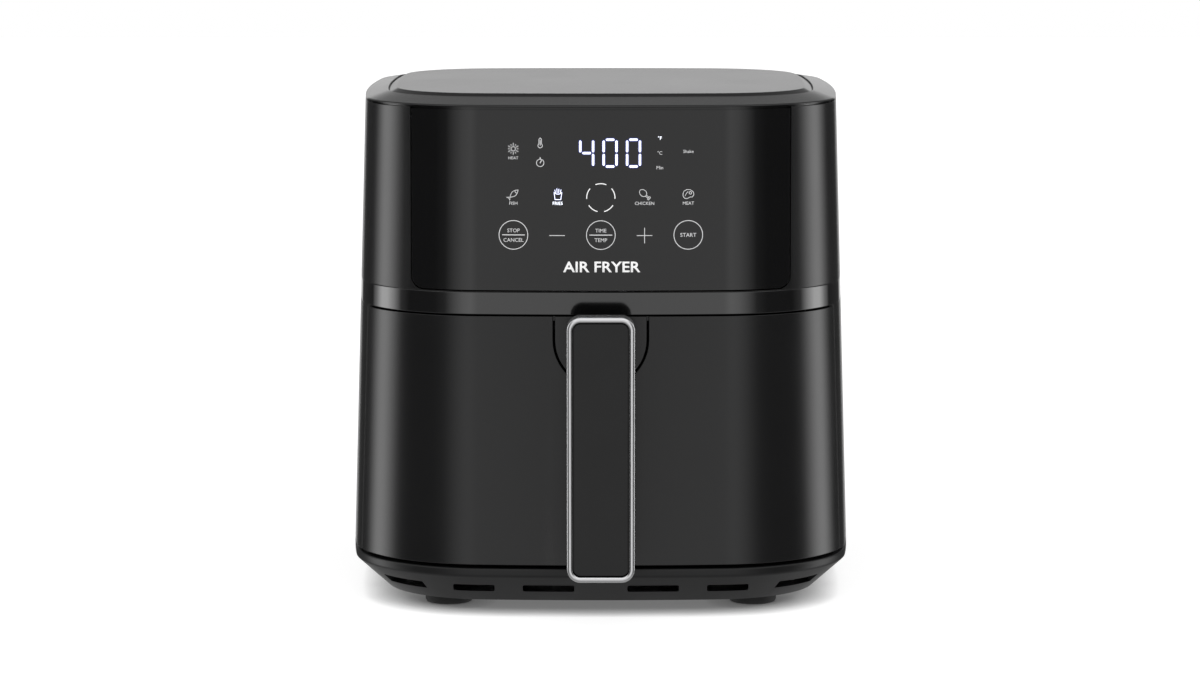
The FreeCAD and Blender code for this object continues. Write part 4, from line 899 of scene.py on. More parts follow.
# ---------------------------------------------------------------- control panel
@dataclass
class ControlPanel:
    """The glossy panel and its markings. Sizes are millimetres on the panel's face."""

    half_w: float = 113 * MM
    corner_r: float = 7 * MM
    stroke: float = 0.42
    columns: tuple[float, ...] = (-52.0, -26.0, 0.0, 26.0, 52.0)
    button_z: float = 198.7
    preset_z: float = 222.5
    digit_z: float = 238.6
    band_height: float = 151.0
    lift: float = 0.06 * MM

    def lens(self) -> None:
        """The glossy lens, cut to its outline."""
        z0, z1 = low("control_panel", 2), high("control_panel", 2)
        ring = swept_loop(BODY, wall_profile(z0 - 0.001, z1 + 0.001, WALL, 0))
        outline = rounded([(-self.half_w, z0), (self.half_w, z0), (self.half_w, z1), (-self.half_w, z1)],
                          [self.corner_r, self.corner_r, 0.6 * MM, 0.6 * MM], 8)
        window = prism(outline, front_place, low("control_panel", 1) - 0.02, BODY.mid_y - 60 * MM)
        mesh = smooth(combine(ring, [window], "INTERSECT", 0.35 * MM), 40)
        finish_piece(mesh, "panel_lens", "housing", Slot.GLOSS, ["control_panel"])

    def place(self, x: float, z: float, lift: float) -> Vector:
        """Point on the lens for panel millimetres."""
        height = low("accent_band", 2) + (z - self.band_height) * MM
        return Vector((x * MM, BODY.front_y(x * MM, height) - lift, height))

    def ribbon(self, work: bmesh.types.BMesh, path: Sequence[Point2], width: float, lift: float,
               closed: bool = False) -> None:
        """Add a flat stroke of even width with round ends along a path.

        Args:
            work: mesh that the stroke is added to.
            path: points of the stroke, in mm.
            width: width of the stroke, in mm.
            lift: height above the lens.
            closed: whether the last point joins the first.
        """
        points = [Vector(p) for p in path]
        count = len(points)
        sides: list[tuple[Vector, Vector]] = []
        for i, here in enumerate(points):
            before = points[i - 1] if (i or closed) else here
            after = points[(i + 1) % count] if (i < count - 1 or closed) else here
            first = (here - before).normalized() if (here - before).length else (after - here).normalized()
            second = (after - here).normalized() if (after - here).length else first
            mean = (first + second).normalized()
            across = Vector((-mean.y, mean.x))
            scale = 1 / max(0.5, mean.dot(first))
            sides.append((here + across * width / 2 * scale, here - across * width / 2 * scale))
        outline_left = [a for a, _ in sides]
        outline_right = [b for _, b in sides]
        rows = [[work.verts.new(self.place(p.x, p.y, lift)) for p in line]
                for line in (outline_left, outline_right)]
        for i in range(count if closed else count - 1):
            k = (i + 1) % count
            work.faces.new((rows[0][i], rows[0][k], rows[1][k], rows[1][i]))
        if closed:
            return
        for end, inner in ((0, 1), (count - 1, count - 2)):
            out = (points[end] - points[inner]).normalized()
            centre, a, b = points[end], sides[end][0], sides[end][1]
            start = (a - centre).normalized()
            sweep = -1 if start.x * out.y - start.y * out.x < 0 else 1
            arc = []
            for j in range(1, 5):
                t = sweep * math.pi * j / 5
                turned = Vector((start.x * math.cos(t) - start.y * math.sin(t),
                                 start.x * math.sin(t) + start.y * math.cos(t)))
                arc.append(work.verts.new(self.place(*(centre + turned * width / 2), lift)))
            work.faces.new([rows[0][end], *arc, rows[1][end]])

    def circle(self, cx: float, cz: float, r: float, a0: float = 0.0, a1: float = 360.0,
               steps: int = 48) -> list[Point2]:
        """Points of an arc, in degrees from +X.

        Args:
            cx: centre across, in mm.
            cz: centre height, in mm.
            r: radius, in mm.
            a0: first angle.
            a1: last angle.
            steps: steps in a full turn.

        Returns:
            Points of the arc, without a repeated last point on a full turn.
        """
        count = max(3, int(steps * abs(a1 - a0) / 360))
        last = count if abs(a1 - a0) < 360 else count - 1
        return [(cx + r * math.cos(math.radians(a0 + (a1 - a0) * i / count)),
                 cz + r * math.sin(math.radians(a0 + (a1 - a0) * i / count))) for i in range(last + 1)]

    def plate(self, work: bmesh.types.BMesh, name: str, look: Glow, slot: Slot) -> None:
        """Turn gathered strokes into a thin raised print.

        Args:
            work: mesh that holds the strokes; it is freed.
            name: name of the piece.
            look: how the marking looks.
            slot: material slot of the record.
        """
        bmesh.ops.recalc_face_normals(work, faces=work.faces)
        for face in work.faces:
            if face.normal.y > 0:
                face.normal_flip()
        back = bmesh.ops.extrude_face_region(work, geom=list(work.faces))
        moved = [v for v in back["geom"] if isinstance(v, bmesh.types.BMVert)]
        bmesh.ops.translate(work, verts=moved, vec=Vector((0, -0.05 * MM, 0)))
        bmesh.ops.recalc_face_normals(work, faces=work.faces)
        mesh = bpy.data.meshes.new(name)
        work.to_mesh(mesh)
        work.free()
        finish_piece(mesh, name, "housing", slot, [], look.build())

    def digit(self, cx: float, shown: str) -> list[list[Point2]]:
        """Strokes of one seven-segment digit.

        Args:
            cx: middle of the digit, in mm.
            shown: letters of the lit segments.

        Returns:
            One two-point stroke for each lit segment.
        """
        w, h, gap = 3.05, 8.85, 1.15
        z0 = self.digit_z
        m, t = z0 + h, z0 + 2 * h
        strokes = {"a": [(cx - w + gap, t - 0.9), (cx + w - gap, t - 0.9)],
                   "b": [(cx + w + 0.75, m + gap), (cx + w + 0.75, t - 0.9 - gap)],
                   "c": [(cx + w + 0.75, z0 + 0.9 + gap), (cx + w + 0.75, m - gap)],
                   "d": [(cx - w + gap, z0 + 0.9), (cx + w - gap, z0 + 0.9)],
                   "e": [(cx - w - 0.75, z0 + 0.9 + gap), (cx - w - 0.75, m - gap)],
                   "f": [(cx - w - 0.75, m + gap), (cx - w - 0.75, t - 0.9 - gap)],
                   "g": [(cx - w + gap, m), (cx + w - gap, m)]}
        return [strokes[s] for s in shown]

    def text(self, work: bmesh.types.BMesh, words: str, cx: float, cz: float, size: float,
             stretch: float = 1.0, bold: float = 0.0) -> None:
        """Add generic lettering, centred at a point, with its capital height given.

        Args:
            work: mesh that the letters are added to.
            words: the letters.
            cx: middle across, in mm.
            cz: middle height, in mm.
            size: height of a capital, in mm.
            stretch: width over the font's own width.
            bold: outward offset of the outlines.
        """
        curve = bpy.data.curves.new("words", "FONT")
        curve.body = words
        curve.align_x = "CENTER"
        curve.resolution_u = 3
        curve.offset = bold
        holder = bpy.data.objects.new("words", curve)
        bpy.context.scene.collection.objects.link(holder)
        flat = bpy.data.meshes.new_from_object(holder.evaluated_get(bpy.context.evaluated_depsgraph_get()))
        bpy.data.objects.remove(holder)
        bpy.data.curves.remove(curve)
        scale = size / 0.7
        start = len(work.verts)
        work.from_mesh(flat)
        bpy.data.meshes.remove(flat)
        work.verts.ensure_lookup_table()
        for vert in work.verts[start:]:
            vert.co = self.place(cx + vert.co.x * scale * stretch, cz + vert.co.y * scale - size / 2,
                                 self.lift)

    def icons(self) -> dict[str, list[tuple[list[Point2], bool]]]:
        """Simple food symbols, each a list of strokes and whether they close.

        Returns:
            Strokes for the printed look and for the lit look.
        """
        x0, x1, x3, x4 = self.columns[0], self.columns[1] + 0.5, self.columns[3], self.columns[4]
        z = self.preset_z + 0.4

        def turned(points: Sequence[Point2], cx: float, degrees: float) -> list[Point2]:
            """Turn points about their origin and carry them to the symbol at cx."""
            c, s = math.cos(math.radians(degrees)), math.sin(math.radians(degrees))
            return [(cx + u * c - v * s, z + u * s + v * c) for u, v in points]

        steps = [i / 10 for i in range(11)]
        upper = [(-2.6 + 6.4 * t, 1.45 * math.sin(math.pi * t)) for t in steps]
        fish = turned(upper + [(u, -v) for u, v in reversed(upper[1:-1])], x0, 42)
        tail = turned([(-2.6, 0.0), (-4.1, 1.3), (-3.6, 0.0), (-4.1, -1.3)], x0, 42)
        gill = turned([(2.1, 1.05), (1.6, 0.0), (2.1, -1.05)], x0, 42)
        scoop = [(x1 - 2.3, z + 1.0), (x1 - 1.7, z - 3.1), (x1 + 1.7, z - 3.1), (x1 + 2.3, z + 1.0),
                 (x1 + 1.1, z + 0.3), (x1, z + 0.1), (x1 - 1.1, z + 0.3)]
        chips = [[(x1 + dx, z + 0.9), (x1 + dx * 1.2, z + top)]
                 for dx, top in ((-1.5, 2.6), (-0.5, 3.4), (0.5, 3.1), (1.5, 2.7))]
        meat = [(2.1 * math.cos(a) * (1.25 if math.cos(a) < 0 else 1.0), 1.9 * math.sin(a))
                for a in [2 * math.pi * i / 20 for i in range(20)]]
        leg = turned([(u - 1.0, v) for u, v in meat], x3, -42)
        bone = [turned([(1.0, w), (3.0, w * 0.6)], x3, -42) for w in (-0.5, 0.5)]
        knobs = [turned(self.circle(3.5, w, 0.55, 0, 360, 12), x3, -42) for w in (-0.5, 0.5)]
        steak = [(x4 + u, z + v) for u,
                 v in ((-3.2, 0.2), (-2.6, 1.8), (-1.0, 2.8), (1.2, 2.7), (2.9, 1.5), (3.3, -0.2),
                                             (2.4, -1.6), (0.8, -1.7), (-0.6, -2.6), (-2.2, -2.4), (-3.1,
                                                                                                    -1.2))]
        eye = self.circle(x4 + 1.2, z + 0.8, 0.75, 0, 360, 12)
        marbling = [(x4 - 1.9, z - 0.9), (x4 - 1.1, z + 0.6), (x4 - 0.2, z + 1.5)]
        grey = [(fish, True), (tail, True), (gill, False), (leg, True), (steak, True), (eye, True),
                (marbling, False)]
        grey += [(line, False) for line in bone] + [(knob, False) for knob in knobs]
        return {"grey": grey, "led": [(scoop, True), *[(chip, False) for chip in chips]]}

    def markings(self) -> None:
        """Digits, icons, rings and generic words, in their three looks."""
        lit, halo, grey, white = bmesh.new(), bmesh.new(), bmesh.new(), bmesh.new()
        for cx, shown in ((-8.4, "bcfg"), (5.5, "abcdef"), (19.4, "abcdef")):
            for path in self.digit(cx, shown):
                self.ribbon(lit, path, 1.25, self.lift + 0.03 * MM)
                self.ribbon(halo, path, 2.2, self.lift - 0.03 * MM)
        shapes = self.icons()
        for path, closed in shapes["led"]:
            self.ribbon(lit, path, 0.3, self.lift + 0.03 * MM, closed)
            self.ribbon(halo, path, 0.8, self.lift - 0.03 * MM, closed)
        for path, closed in shapes["grey"]:
            self.ribbon(grey, path, 0.34, self.lift, closed)
        for i in range(5):
            self.ribbon(white, self.circle(0, 220.9, 8.4, 90 - 21 + 72 * i, 90 + 21 + 72 * i, 100), 0.55,
                        self.lift)
        for x in (self.columns[0], self.columns[2], self.columns[4]):
            self.ribbon(grey, self.circle(x, self.button_z, 8.55, 0, 360, 80), self.stroke, self.lift, True)
        for x in (self.columns[0], self.columns[2]):
            self.ribbon(grey, [(x - 6.6, self.button_z), (x + 6.6, self.button_z)], 0.5, self.lift)
        for x in (self.columns[1], self.columns[3]):
            self.ribbon(grey, [(x - 4.5, self.button_z - 0.3), (x + 4.5, self.button_z - 0.3)], 0.4,
                        self.lift)
        self.ribbon(grey, [(26.0, self.button_z - 4.8), (26.0, self.button_z + 4.2)], 0.4,
                    self.lift + 0.01 * MM)
        for i in range(12):
            a = math.radians(30 * i)
            near, far = (2.0, 3.4) if i % 2 else (2.3, 3.0)
            self.ribbon(grey, [(-52 + near * math.cos(a), 249.9 + near * math.sin(a)),
                               (-52 + far * math.cos(a), 249.9 + far * math.sin(a))], 0.36, self.lift)
        self.ribbon(grey, self.circle(-52, 249.9, 1.3, 0, 360, 16), 0.36, self.lift, True)
        self.ribbon(grey,
                    self.circle(-36, 251.8, 1.3, 125, 415, 20) + [(-35.25, 255.6), (-36, 256.4),
                                                                  (-36.75, 255.6)],
                    0.36, self.lift, True)
        self.ribbon(grey, [(-36, 252.0), (-36, 255.0)], 0.4, self.lift)
        self.ribbon(grey, self.circle(-36, 241.6, 2.2, 0, 360, 24), 0.36, self.lift, True)
        self.ribbon(grey, [(-36, 241.6), (-35.3, 243.0)], 0.5, self.lift)
        self.ribbon(grey, [(-36, 244.1), (-36, 244.6)], 0.6, self.lift)
        for words, x, z, size in (("STOP", -52, 201.4, 2.2), ("CANCEL", -52, 195.7, 2.2),
                                  ("TIME", 0, 201.4, 2.2),
                                  ("TEMP", 0, 195.7, 2.2), ("START", 52, 198.7, 2.3), ("FISH", -52, 217.6,
                                                                                       1.9),
                                  ("CHICKEN", 26, 217.6, 1.9), ("MEAT", 52, 217.6, 1.9), ("HEAT", -52,
                                                                                          244.5, 1.7),
                                  ("°C", 35, 247.5, 2.0), ("Min", 35, 238.8, 2.0), ("Shake", 52, 248.4,
                                                                                    1.9)):
            self.text(grey, words, x, z, size)
        self.text(lit, "FRIES", -25.7, 217.6, 1.9)
        self.text(lit, "°F", 35, 256.3, 2.0)
        self.text(white, "AIR FRYER", 0.5, 179.8, 6.2, 1.12, 0.018)
        self.plate(halo, "led_glow", LED_HALO, Slot.WHITE)
        self.plate(lit, "led_marks", LED_WHITE, Slot.WHITE)
        self.plate(grey, "printed_marks_painted_glow", PRINT_GREY_WITH_GLOW, Slot.WHITE)
        self.plate(white, "printed_words_painted_glow", PRINT_WHITE_WITH_GLOW, Slot.WHITE)

    def build(self) -> None:
        """Place the panel and its markings."""
        self.lens()
        self.markings()


# ---------------------------------------------------------------- drawer
def arch(half: float, arc_z: float, top: float, steps: int = 24) -> list[Point2]:
    """Outline of an upright tongue with a half-round foot."""
    turns = [math.pi + math.pi * i / steps for i in range(steps + 1)]
    return [(half * math.cos(a), arc_z + half * math.sin(a)) for a in turns] + [(half, top), (-half, top)]


@dataclass
class Drawer:
    """Drawer front, handle, and the basket behind them."""

    wall: float = 2.8 * MM
    boss_half: float = 28 * MM
    boss_gap: float = 0.6 * MM
    boss_arc: float = 168 * MM
    trim_w: float = 3.3 * MM
    handle_r: float = 8 * MM
    arm_half: float = 15 * MM
    basket_r: float = 40 * MM
    basket_t: float = 1.2 * MM
    draft: float = 5 * MM

    def front(self) -> bpy.types.Mesh:
        """Build the bowed front cap with its arched socket.

        Returns:
            The cap's mesh.
        """
        z0, z1 = low("drawer_front", 2), high("drawer_front", 2)
        split = BODY.mid_y - high("drawer_front", 1)
        w = self.wall
        outer = rounded([(0.0, z0), (0.0, z1), (w, z1), (w, z0)], [0.5 * MM, 0.45 * MM, 0, 0])
        rings = [BODY.front_run(d, z, split) for d, z in outer]
        mesh = mesh_from_rings(rings, False, True)
        socket = prism(arch(self.boss_half + self.boss_gap, self.boss_arc, z1 + 0.01), front_place,
                       low("drawer_front", 1) - 0.02, low("drawer_front", 1) + 0.03)
        return smooth(combine(mesh, [socket], "DIFFERENCE", 0.4 * MM), 40)

    def cap_edges(self) -> bpy.types.Mesh:
        """Top and bottom returns of the cap, just inside its outer wall.

        Returns:
            Both returns, in one mesh.
        """
        z0, z1 = low("drawer_front", 2), high("drawer_front", 2)
        split = BODY.mid_y - high("drawer_front", 1)
        w = self.wall
        work = bmesh.new()
        for a, b in ((z0 + 0.1 * MM, z0 + w), (z1 - w, z1 - 0.1 * MM)):
            part = mesh_from_rings([BODY.front_run(d, z, split) for d, z in
                                    ((w + 0.02 * MM, a), (w + 0.02 * MM, b), (14 * MM, b),
                                     (14 * MM, a))], False, True)
            work.from_mesh(part)
            bpy.data.meshes.remove(part)
        mesh = bpy.data.meshes.new("returns")
        work.to_mesh(mesh)
        work.free()
        return smooth(mesh, 40)

    def arm(self) -> bpy.types.Mesh:
        """Build the arched plug, level with the front, and the arm that carries the grip.

        Returns:
            The plug and the arm, in one mesh.
        """
        z1 = high("drawer_front", 2)
        ring = mesh_from_rings([BODY.front_run(d, z, 0.1) for d, z in
                                ((0.0, z1 - 0.15), (0.0, z1), (3.6 * MM, z1),
                                 (3.6 * MM, z1 - 0.15))], False, True)
        tongue = prism(arch(self.boss_half - self.boss_gap, self.boss_arc, z1 + 0.01), front_place,
                       low("drawer_front", 1) - 0.02, low("drawer_front", 1) + 0.03)
        plug = combine(ring, [tongue], "INTERSECT", 0.5 * MM)
        back = low("handle_arm", 1)
        face = BODY.front_y(0, self.boss_arc) + 1.5 * MM
        top, bottom = z1 - 4 * MM, self.boss_arc - 20 * MM
        rings = []
        for share, flare in ((0.0, 0.0), (0.72, 0.0), (0.86, 1.0 * MM), (0.95, 2.6 * MM), (1.0, 4.2 * MM)):
            y = back + (face - back) * share
            half = self.arm_half + flare
            outline = rounded([(-half, bottom - flare), (half, bottom - flare),
                               (half, top + min(flare, 3.4 * MM)),
                               (-half, top + min(flare, 3.4 * MM))], 6.5 * MM, 5)
            rings.append([Vector((u, y, v)) for u, v in outline])
        neck = mesh_from_rings(rings, True, False)
        work = bmesh.new()
        work.from_mesh(plug)
        work.from_mesh(neck)
        mesh = bpy.data.meshes.new("arm")
        work.to_mesh(mesh)
        work.free()
        return smooth(mesh, 40)

    def face_rings(self, steps: Sequence[tuple[float, float]]) -> list[list[Vector]]:
        """Rings of the handle's outline, for (how far in, Y) pairs.

        Args:
            steps: pairs of how far in the ring lies and its Y.

        Returns:
            One ring for each pair.
        """
        lo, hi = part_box("handle_trim")
        rings = []
        for d, y in steps:
            outline = rounded([(lo.x + d, lo.z + d), (hi.x - d, lo.z + d), (hi.x - d, hi.z - d),
                               (lo.x + d, hi.z - d)],
                              max(self.handle_r - d, 0.6 * MM), 8)
            rings.append([Vector((u, y, v)) for u, v in outline])
        return rings

    def trim(self) -> bpy.types.Mesh:
        """Build the bright frame round the handle's face.

        Returns:
            The frame's mesh.
        """
        y0, y1 = low("handle_trim", 1), high("handle_trim", 1)
        w = self.trim_w
        profile = [(0.0, y1), (0.0, y0 + 1.5 * MM), (0.12 * MM, y0 + 1.1 * MM), (0.5 * MM, y0 + 0.45 * MM),
                   (1.3 * MM, y0 + 0.08 * MM), (1.7 * MM, y0), (2.2 * MM, y0), (2.6 * MM, y0 + 0.12 * MM),
                   (w - 0.12 * MM, y0 + 0.6 * MM), (w, y0 + 1.0 * MM), (w, y1)]
        return smooth(mesh_from_rings(self.face_rings(profile), True, True), 34)

    def insert(self) -> bpy.types.Mesh:
        """Build the dark face inside the bright frame.

        Returns:
            The face's mesh.
        """
        y0, y1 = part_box("handle_insert")[0].y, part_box("handle_insert")[1].y
        edge = self.trim_w + 0.7 * MM
        profile = [(edge, y1), (edge, y0 + 0.5 * MM), (edge + 0.15 * MM, y0 + 0.15 * MM),
                   (edge + 0.5 * MM, y0)]
        return smooth(mesh_from_rings(self.face_rings(profile), True, False), 34)

    def grip(self) -> bpy.types.Mesh:
        """Build the rounded back of the grip and the core behind the insert.

        Returns:
            The grip's mesh.
        """
        start, back = low("handle_grip", 1), high("handle_grip", 1)
        base = high("handle_trim", 1)
        core = self.trim_w + 0.25 * MM
        profile = [(core, start), (core, base), (0.05 * MM, base), (0.05 * MM, back - 3.5 * MM)]
        for i in range(1, 7):
            a = math.pi / 2 * i / 6
            profile.append((0.05 * MM + 3.5 * MM * (1 - math.cos(a)),
                            back - 3.5 * MM + 3.5 * MM * math.sin(a)))
        return smooth(mesh_from_rings(self.face_rings(profile), True, False), 34)

    def basket(self) -> bpy.types.Mesh:
        """Build the drafted basket with a filleted floor and a rolled rim.

        Returns:
            The basket's mesh.
        """
        lo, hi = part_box("basket")
        rim = 4.5 * MM
        front_rim = 1.8 * MM
        x1, y0, y1 = hi.x - rim, lo.y + front_rim, hi.y - rim
        z0, z1 = lo.z, hi.z - 1.5 * MM
        t, d, r = self.basket_t, self.draft, self.basket_r

        def ring(inset: float, z: float, grow_front: float = 0.0) -> list[Vector]:
            """Rounded outline of the basket at one height."""
            corners = [(-x1 + inset, y0 + inset - grow_front), (x1 - inset, y0 + inset - grow_front),
                       (x1 - inset, y1 - inset), (-x1 + inset, y1 - inset)]
            return [Vector((u, v, z)) for u, v in rounded(corners, max(r - inset, 8 * MM), 14)]

        turn = 9 * MM
        rings = []
        for i in range(6):
            a = math.pi / 2 * i / 5
            rings.append(ring(d + turn * (1 - math.sin(a)), z0 + turn * (1 - math.cos(a))))
        rings.append(ring(0.0, z1 - 0.6 * MM))
        rings.append(ring(-0.5 * MM, z1, 0.0))
        out = [(-rim + 0.5 * MM, z1), (-rim, z1 + 0.4 * MM), (-rim, z1 + 1.0 * MM),
               (-rim + 0.5 * MM, z1 + 1.5 * MM)]
        for inset, z in out:
            rings.append(ring(inset, z, front_rim - rim))
        rings.append(ring(0.4 * MM, z1 + 1.5 * MM))
        rings.append(ring(t, z1 + 0.8 * MM))
        rings.append(ring(t, z1 - 0.6 * MM))
        for i in range(6):
            a = math.pi / 2 * (1 - i / 5)
            rings.append(ring(d + t + (turn - t) * (1 - math.sin(a)),
                              z0 + t + (turn - t) * (1 - math.cos(a))))
        return smooth(mesh_from_rings(rings, True, False), 34)

    def build(self) -> None:
        """Place the drawer's pieces."""
        finish_piece(self.front(), "drawer_cap", "drawer", Slot.SATIN, ["drawer_front"])
        finish_piece(self.cap_edges(), "drawer_returns", "drawer", Slot.SATIN)
        finish_piece(self.arm(), "handle_neck", "drawer", Slot.SATIN, ["handle_arm"])
        finish_piece(self.trim(), "handle_frame", "drawer", Slot.TRIM, ["handle_trim"])
        finish_piece(self.insert(), "handle_face", "drawer", Slot.PLINTH, ["handle_insert"])
        finish_piece(self.grip(), "handle_back", "drawer", Slot.SATIN, ["handle_grip"])
        finish_piece(self.basket(), "basket_shell", "drawer", Slot.NONSTICK, ["basket"])


# ---------------------------------------------------------------- repeated detail
@dataclass
class Scatter:
    """Geometry Nodes that repeat a rolled ring on each point of a list."""

    name: str
    points: Sequence[Vector]
    ring_r: float
    tube_r: float

    def tree(self, material: bpy.types.Material) -> bpy.types.NodeTree:
        """Build the node tree: a rolled ring on each point.

        Args:
            material: finish set on the repeated shape.

        Returns:
            The node tree, ready for a modifier.
        """
        tree = bpy.data.node_groups.new(self.name + "_nodes", "GeometryNodeTree")
        tree.interface.new_socket("Geometry", in_out="INPUT", socket_type="NodeSocketGeometry")
        for label, value in (("Ring Radius", self.ring_r), ("Tube Radius", self.tube_r)):
            socket = tree.interface.new_socket(label, in_out="INPUT", socket_type="NodeSocketFloat")
            socket.default_value = value
        tree.interface.new_socket("Geometry", in_out="OUTPUT", socket_type="NodeSocketGeometry")
        start, end = tree.nodes.new("NodeGroupInput"), tree.nodes.new("NodeGroupOutput")
        ring = add_node(tree, "GeometryNodeCurvePrimitiveCircle", {"Resolution": 20,
                                                                   "Radius": start.outputs["Ring Radius"]})
        tube = add_node(tree, "GeometryNodeCurvePrimitiveCircle", {"Resolution": 6,
                                                                   "Radius": start.outputs["Tube Radius"]})
        bead = add_node(tree, "GeometryNodeCurveToMesh", {"Curve": ring.outputs["Curve"],
                                                          "Profile Curve": tube.outputs["Curve"]})
        placed = add_node(tree, "GeometryNodeInstanceOnPoints", {"Points": start.outputs["Geometry"],
                                                                 "Instance": bead.outputs["Mesh"]})
        real = add_node(tree, "GeometryNodeRealizeInstances", {"Geometry": placed.outputs[0]})
        dressed = add_node(tree, "GeometryNodeSetMaterial", {"Geometry": real.outputs[0]})
        dressed.inputs["Material"].default_value = material
        tree.links.new(dressed.outputs[0], end.inputs[0])
        return tree

    def build(self, slot: Slot) -> bpy.types.Mesh:
        """Evaluate the nodes to a plain mesh.

        Args:
            slot: the finish of the repeated shape.

        Returns:
            A plain mesh with nothing left to evaluate.
        """
        seeds = bpy.data.meshes.new(self.name + "_points")
        seeds.from_pydata(list(self.points), [], [])
        holder = bpy.data.objects.new(self.name + "_points", seeds)
        bpy.context.scene.collection.objects.link(holder)
        tree = self.tree(FINISHES[slot].build())
        step = holder.modifiers.new("repeat", "NODES")
        step.node_group = tree
        for item in tree.interface.items_tree:
            if item.item_type == "SOCKET" and item.in_out == "INPUT" and item.name.endswith("Radius"):
                step[item.identifier] = self.ring_r if item.name.startswith("Ring") else self.tube_r
        plain = bpy.data.meshes.new_from_object(holder.evaluated_get(bpy.context.evaluated_depsgraph_get()))
        bpy.data.objects.remove(holder)
        bpy.data.meshes.remove(seeds)
        return smooth(plain, 60)


def hole_centres(node: str, radius: float, level: float) -> list[Vector]:
    """Centres of a plate's round holes, found from its rim edges at one height.

    Args:
        node: the frame node with the holes.
        radius: radius of the wanted holes.
        level: Z of the plate's face.

    Returns:
        One point for each hole.
    """
    work = bmesh.new()
    work.from_mesh(frame["nodes"][node].data)
    bmesh.ops.remove_doubles(work, verts=work.verts, dist=1e-6)
    joined: dict[bmesh.types.BMVert, list[bmesh.types.BMVert]] = {}
    for edge in work.edges:
        flat = sorted(abs(face.normal.z) for face in edge.link_faces)
        ends = list(edge.verts)
        if len(flat) == 2 and flat[0] < 0.1 and flat[1] > 0.9 and all(abs(v.co.z - level) < 1e-5
                                                                      for v in ends):
            for here, other in (ends, ends[::-1]):
                joined.setdefault(here, []).append(other)
    found: list[Vector] = []
    seen: set[bmesh.types.BMVert] = set()
    for vert in joined:
        if vert in seen:
            continue
        loop, queue = [], [vert]
        seen.add(vert)
        while queue:
            here = queue.pop()
            loop.append(here.co.copy())
            fresh = [other for other in joined[here] if other not in seen]
            seen.update(fresh)
            queue.extend(fresh)
        centre = sum(loop, Vector()) / len(loop)
        if max((point - centre).length for point in loop) < radius * 1.1:
            found.append(centre)
    work.free()
    return found


@dataclass
class Detail:
    """Small repeated shapes and softened copies: tray beads, and the softened tray, grille and cord gland.
    """

    hole_r: float = 3.6 * MM
    bead: float = 0.55 * MM

    def tray(self) -> None:
        """Softened tray plate with a rolled bead round each hole."""
        finish_piece(soft_copy("crisper_tray", 0.35 * MM), "tray_plate", "tray", Slot.NONSTICK,
                     ["crisper_tray"])
        level = high("crisper_tray", 2)
        centres = hole_centres("crisper_tray", self.hole_r, level)
        log.info("tray has %d holes", len(centres))
        beads = Scatter("tray_beads", centres, self.hole_r + 0.4 * MM, self.bead).build(Slot.NONSTICK)
        finish_piece(beads, "tray_beads", "tray", Slot.NONSTICK)

    def build(self) -> None:
        """Place the repeated and softened pieces."""
        self.tray()
        finish_piece(soft_copy("exhaust_grille", 0.5 * MM), "grille", "housing", Slot.SATIN,
                     ["exhaust_grille"])
        finish_piece(soft_copy("cord_gland", 0.5 * MM), "gland", "housing", Slot.RUBBER, ["cord_gland"])


# ---------------------------------------------------------------- studio
def sheet_mesh(name: str, corners: Sequence[Vector]) -> bpy.types.Object:
    """A flat staged sheet from its four corners.

    Args:
        name: name of the sheet.
        corners: its four corners, in order.

    Returns:
        The object, linked to the scene.
    """
    mesh = bpy.data.meshes.new(name)
    mesh.from_pydata([tuple(c) for c in corners], [], [(0, 1, 2, 3)])
    item = bpy.data.objects.new(name, mesh)
    bpy.context.scene.collection.objects.link(item)
    return item


def flat_material(name: str, colour: tuple[float, float, float], rough: float = 0.9) -> bpy.types.Material:
    """A plain matt material for staging.

    Args:
        name: name of the material.
        colour: its colour.
        rough: its roughness.

    Returns:
        The material.
    """
    material = bpy.data.materials.new(name)
    material.use_nodes = True
    shader = material.node_tree.nodes["Principled BSDF"]
    shader.inputs["Base Color"].default_value = colour + (1.0,)
    shader.inputs["Roughness"].default_value = rough
    shader.inputs["Specular IOR Level"].default_value = 0.0
    return material


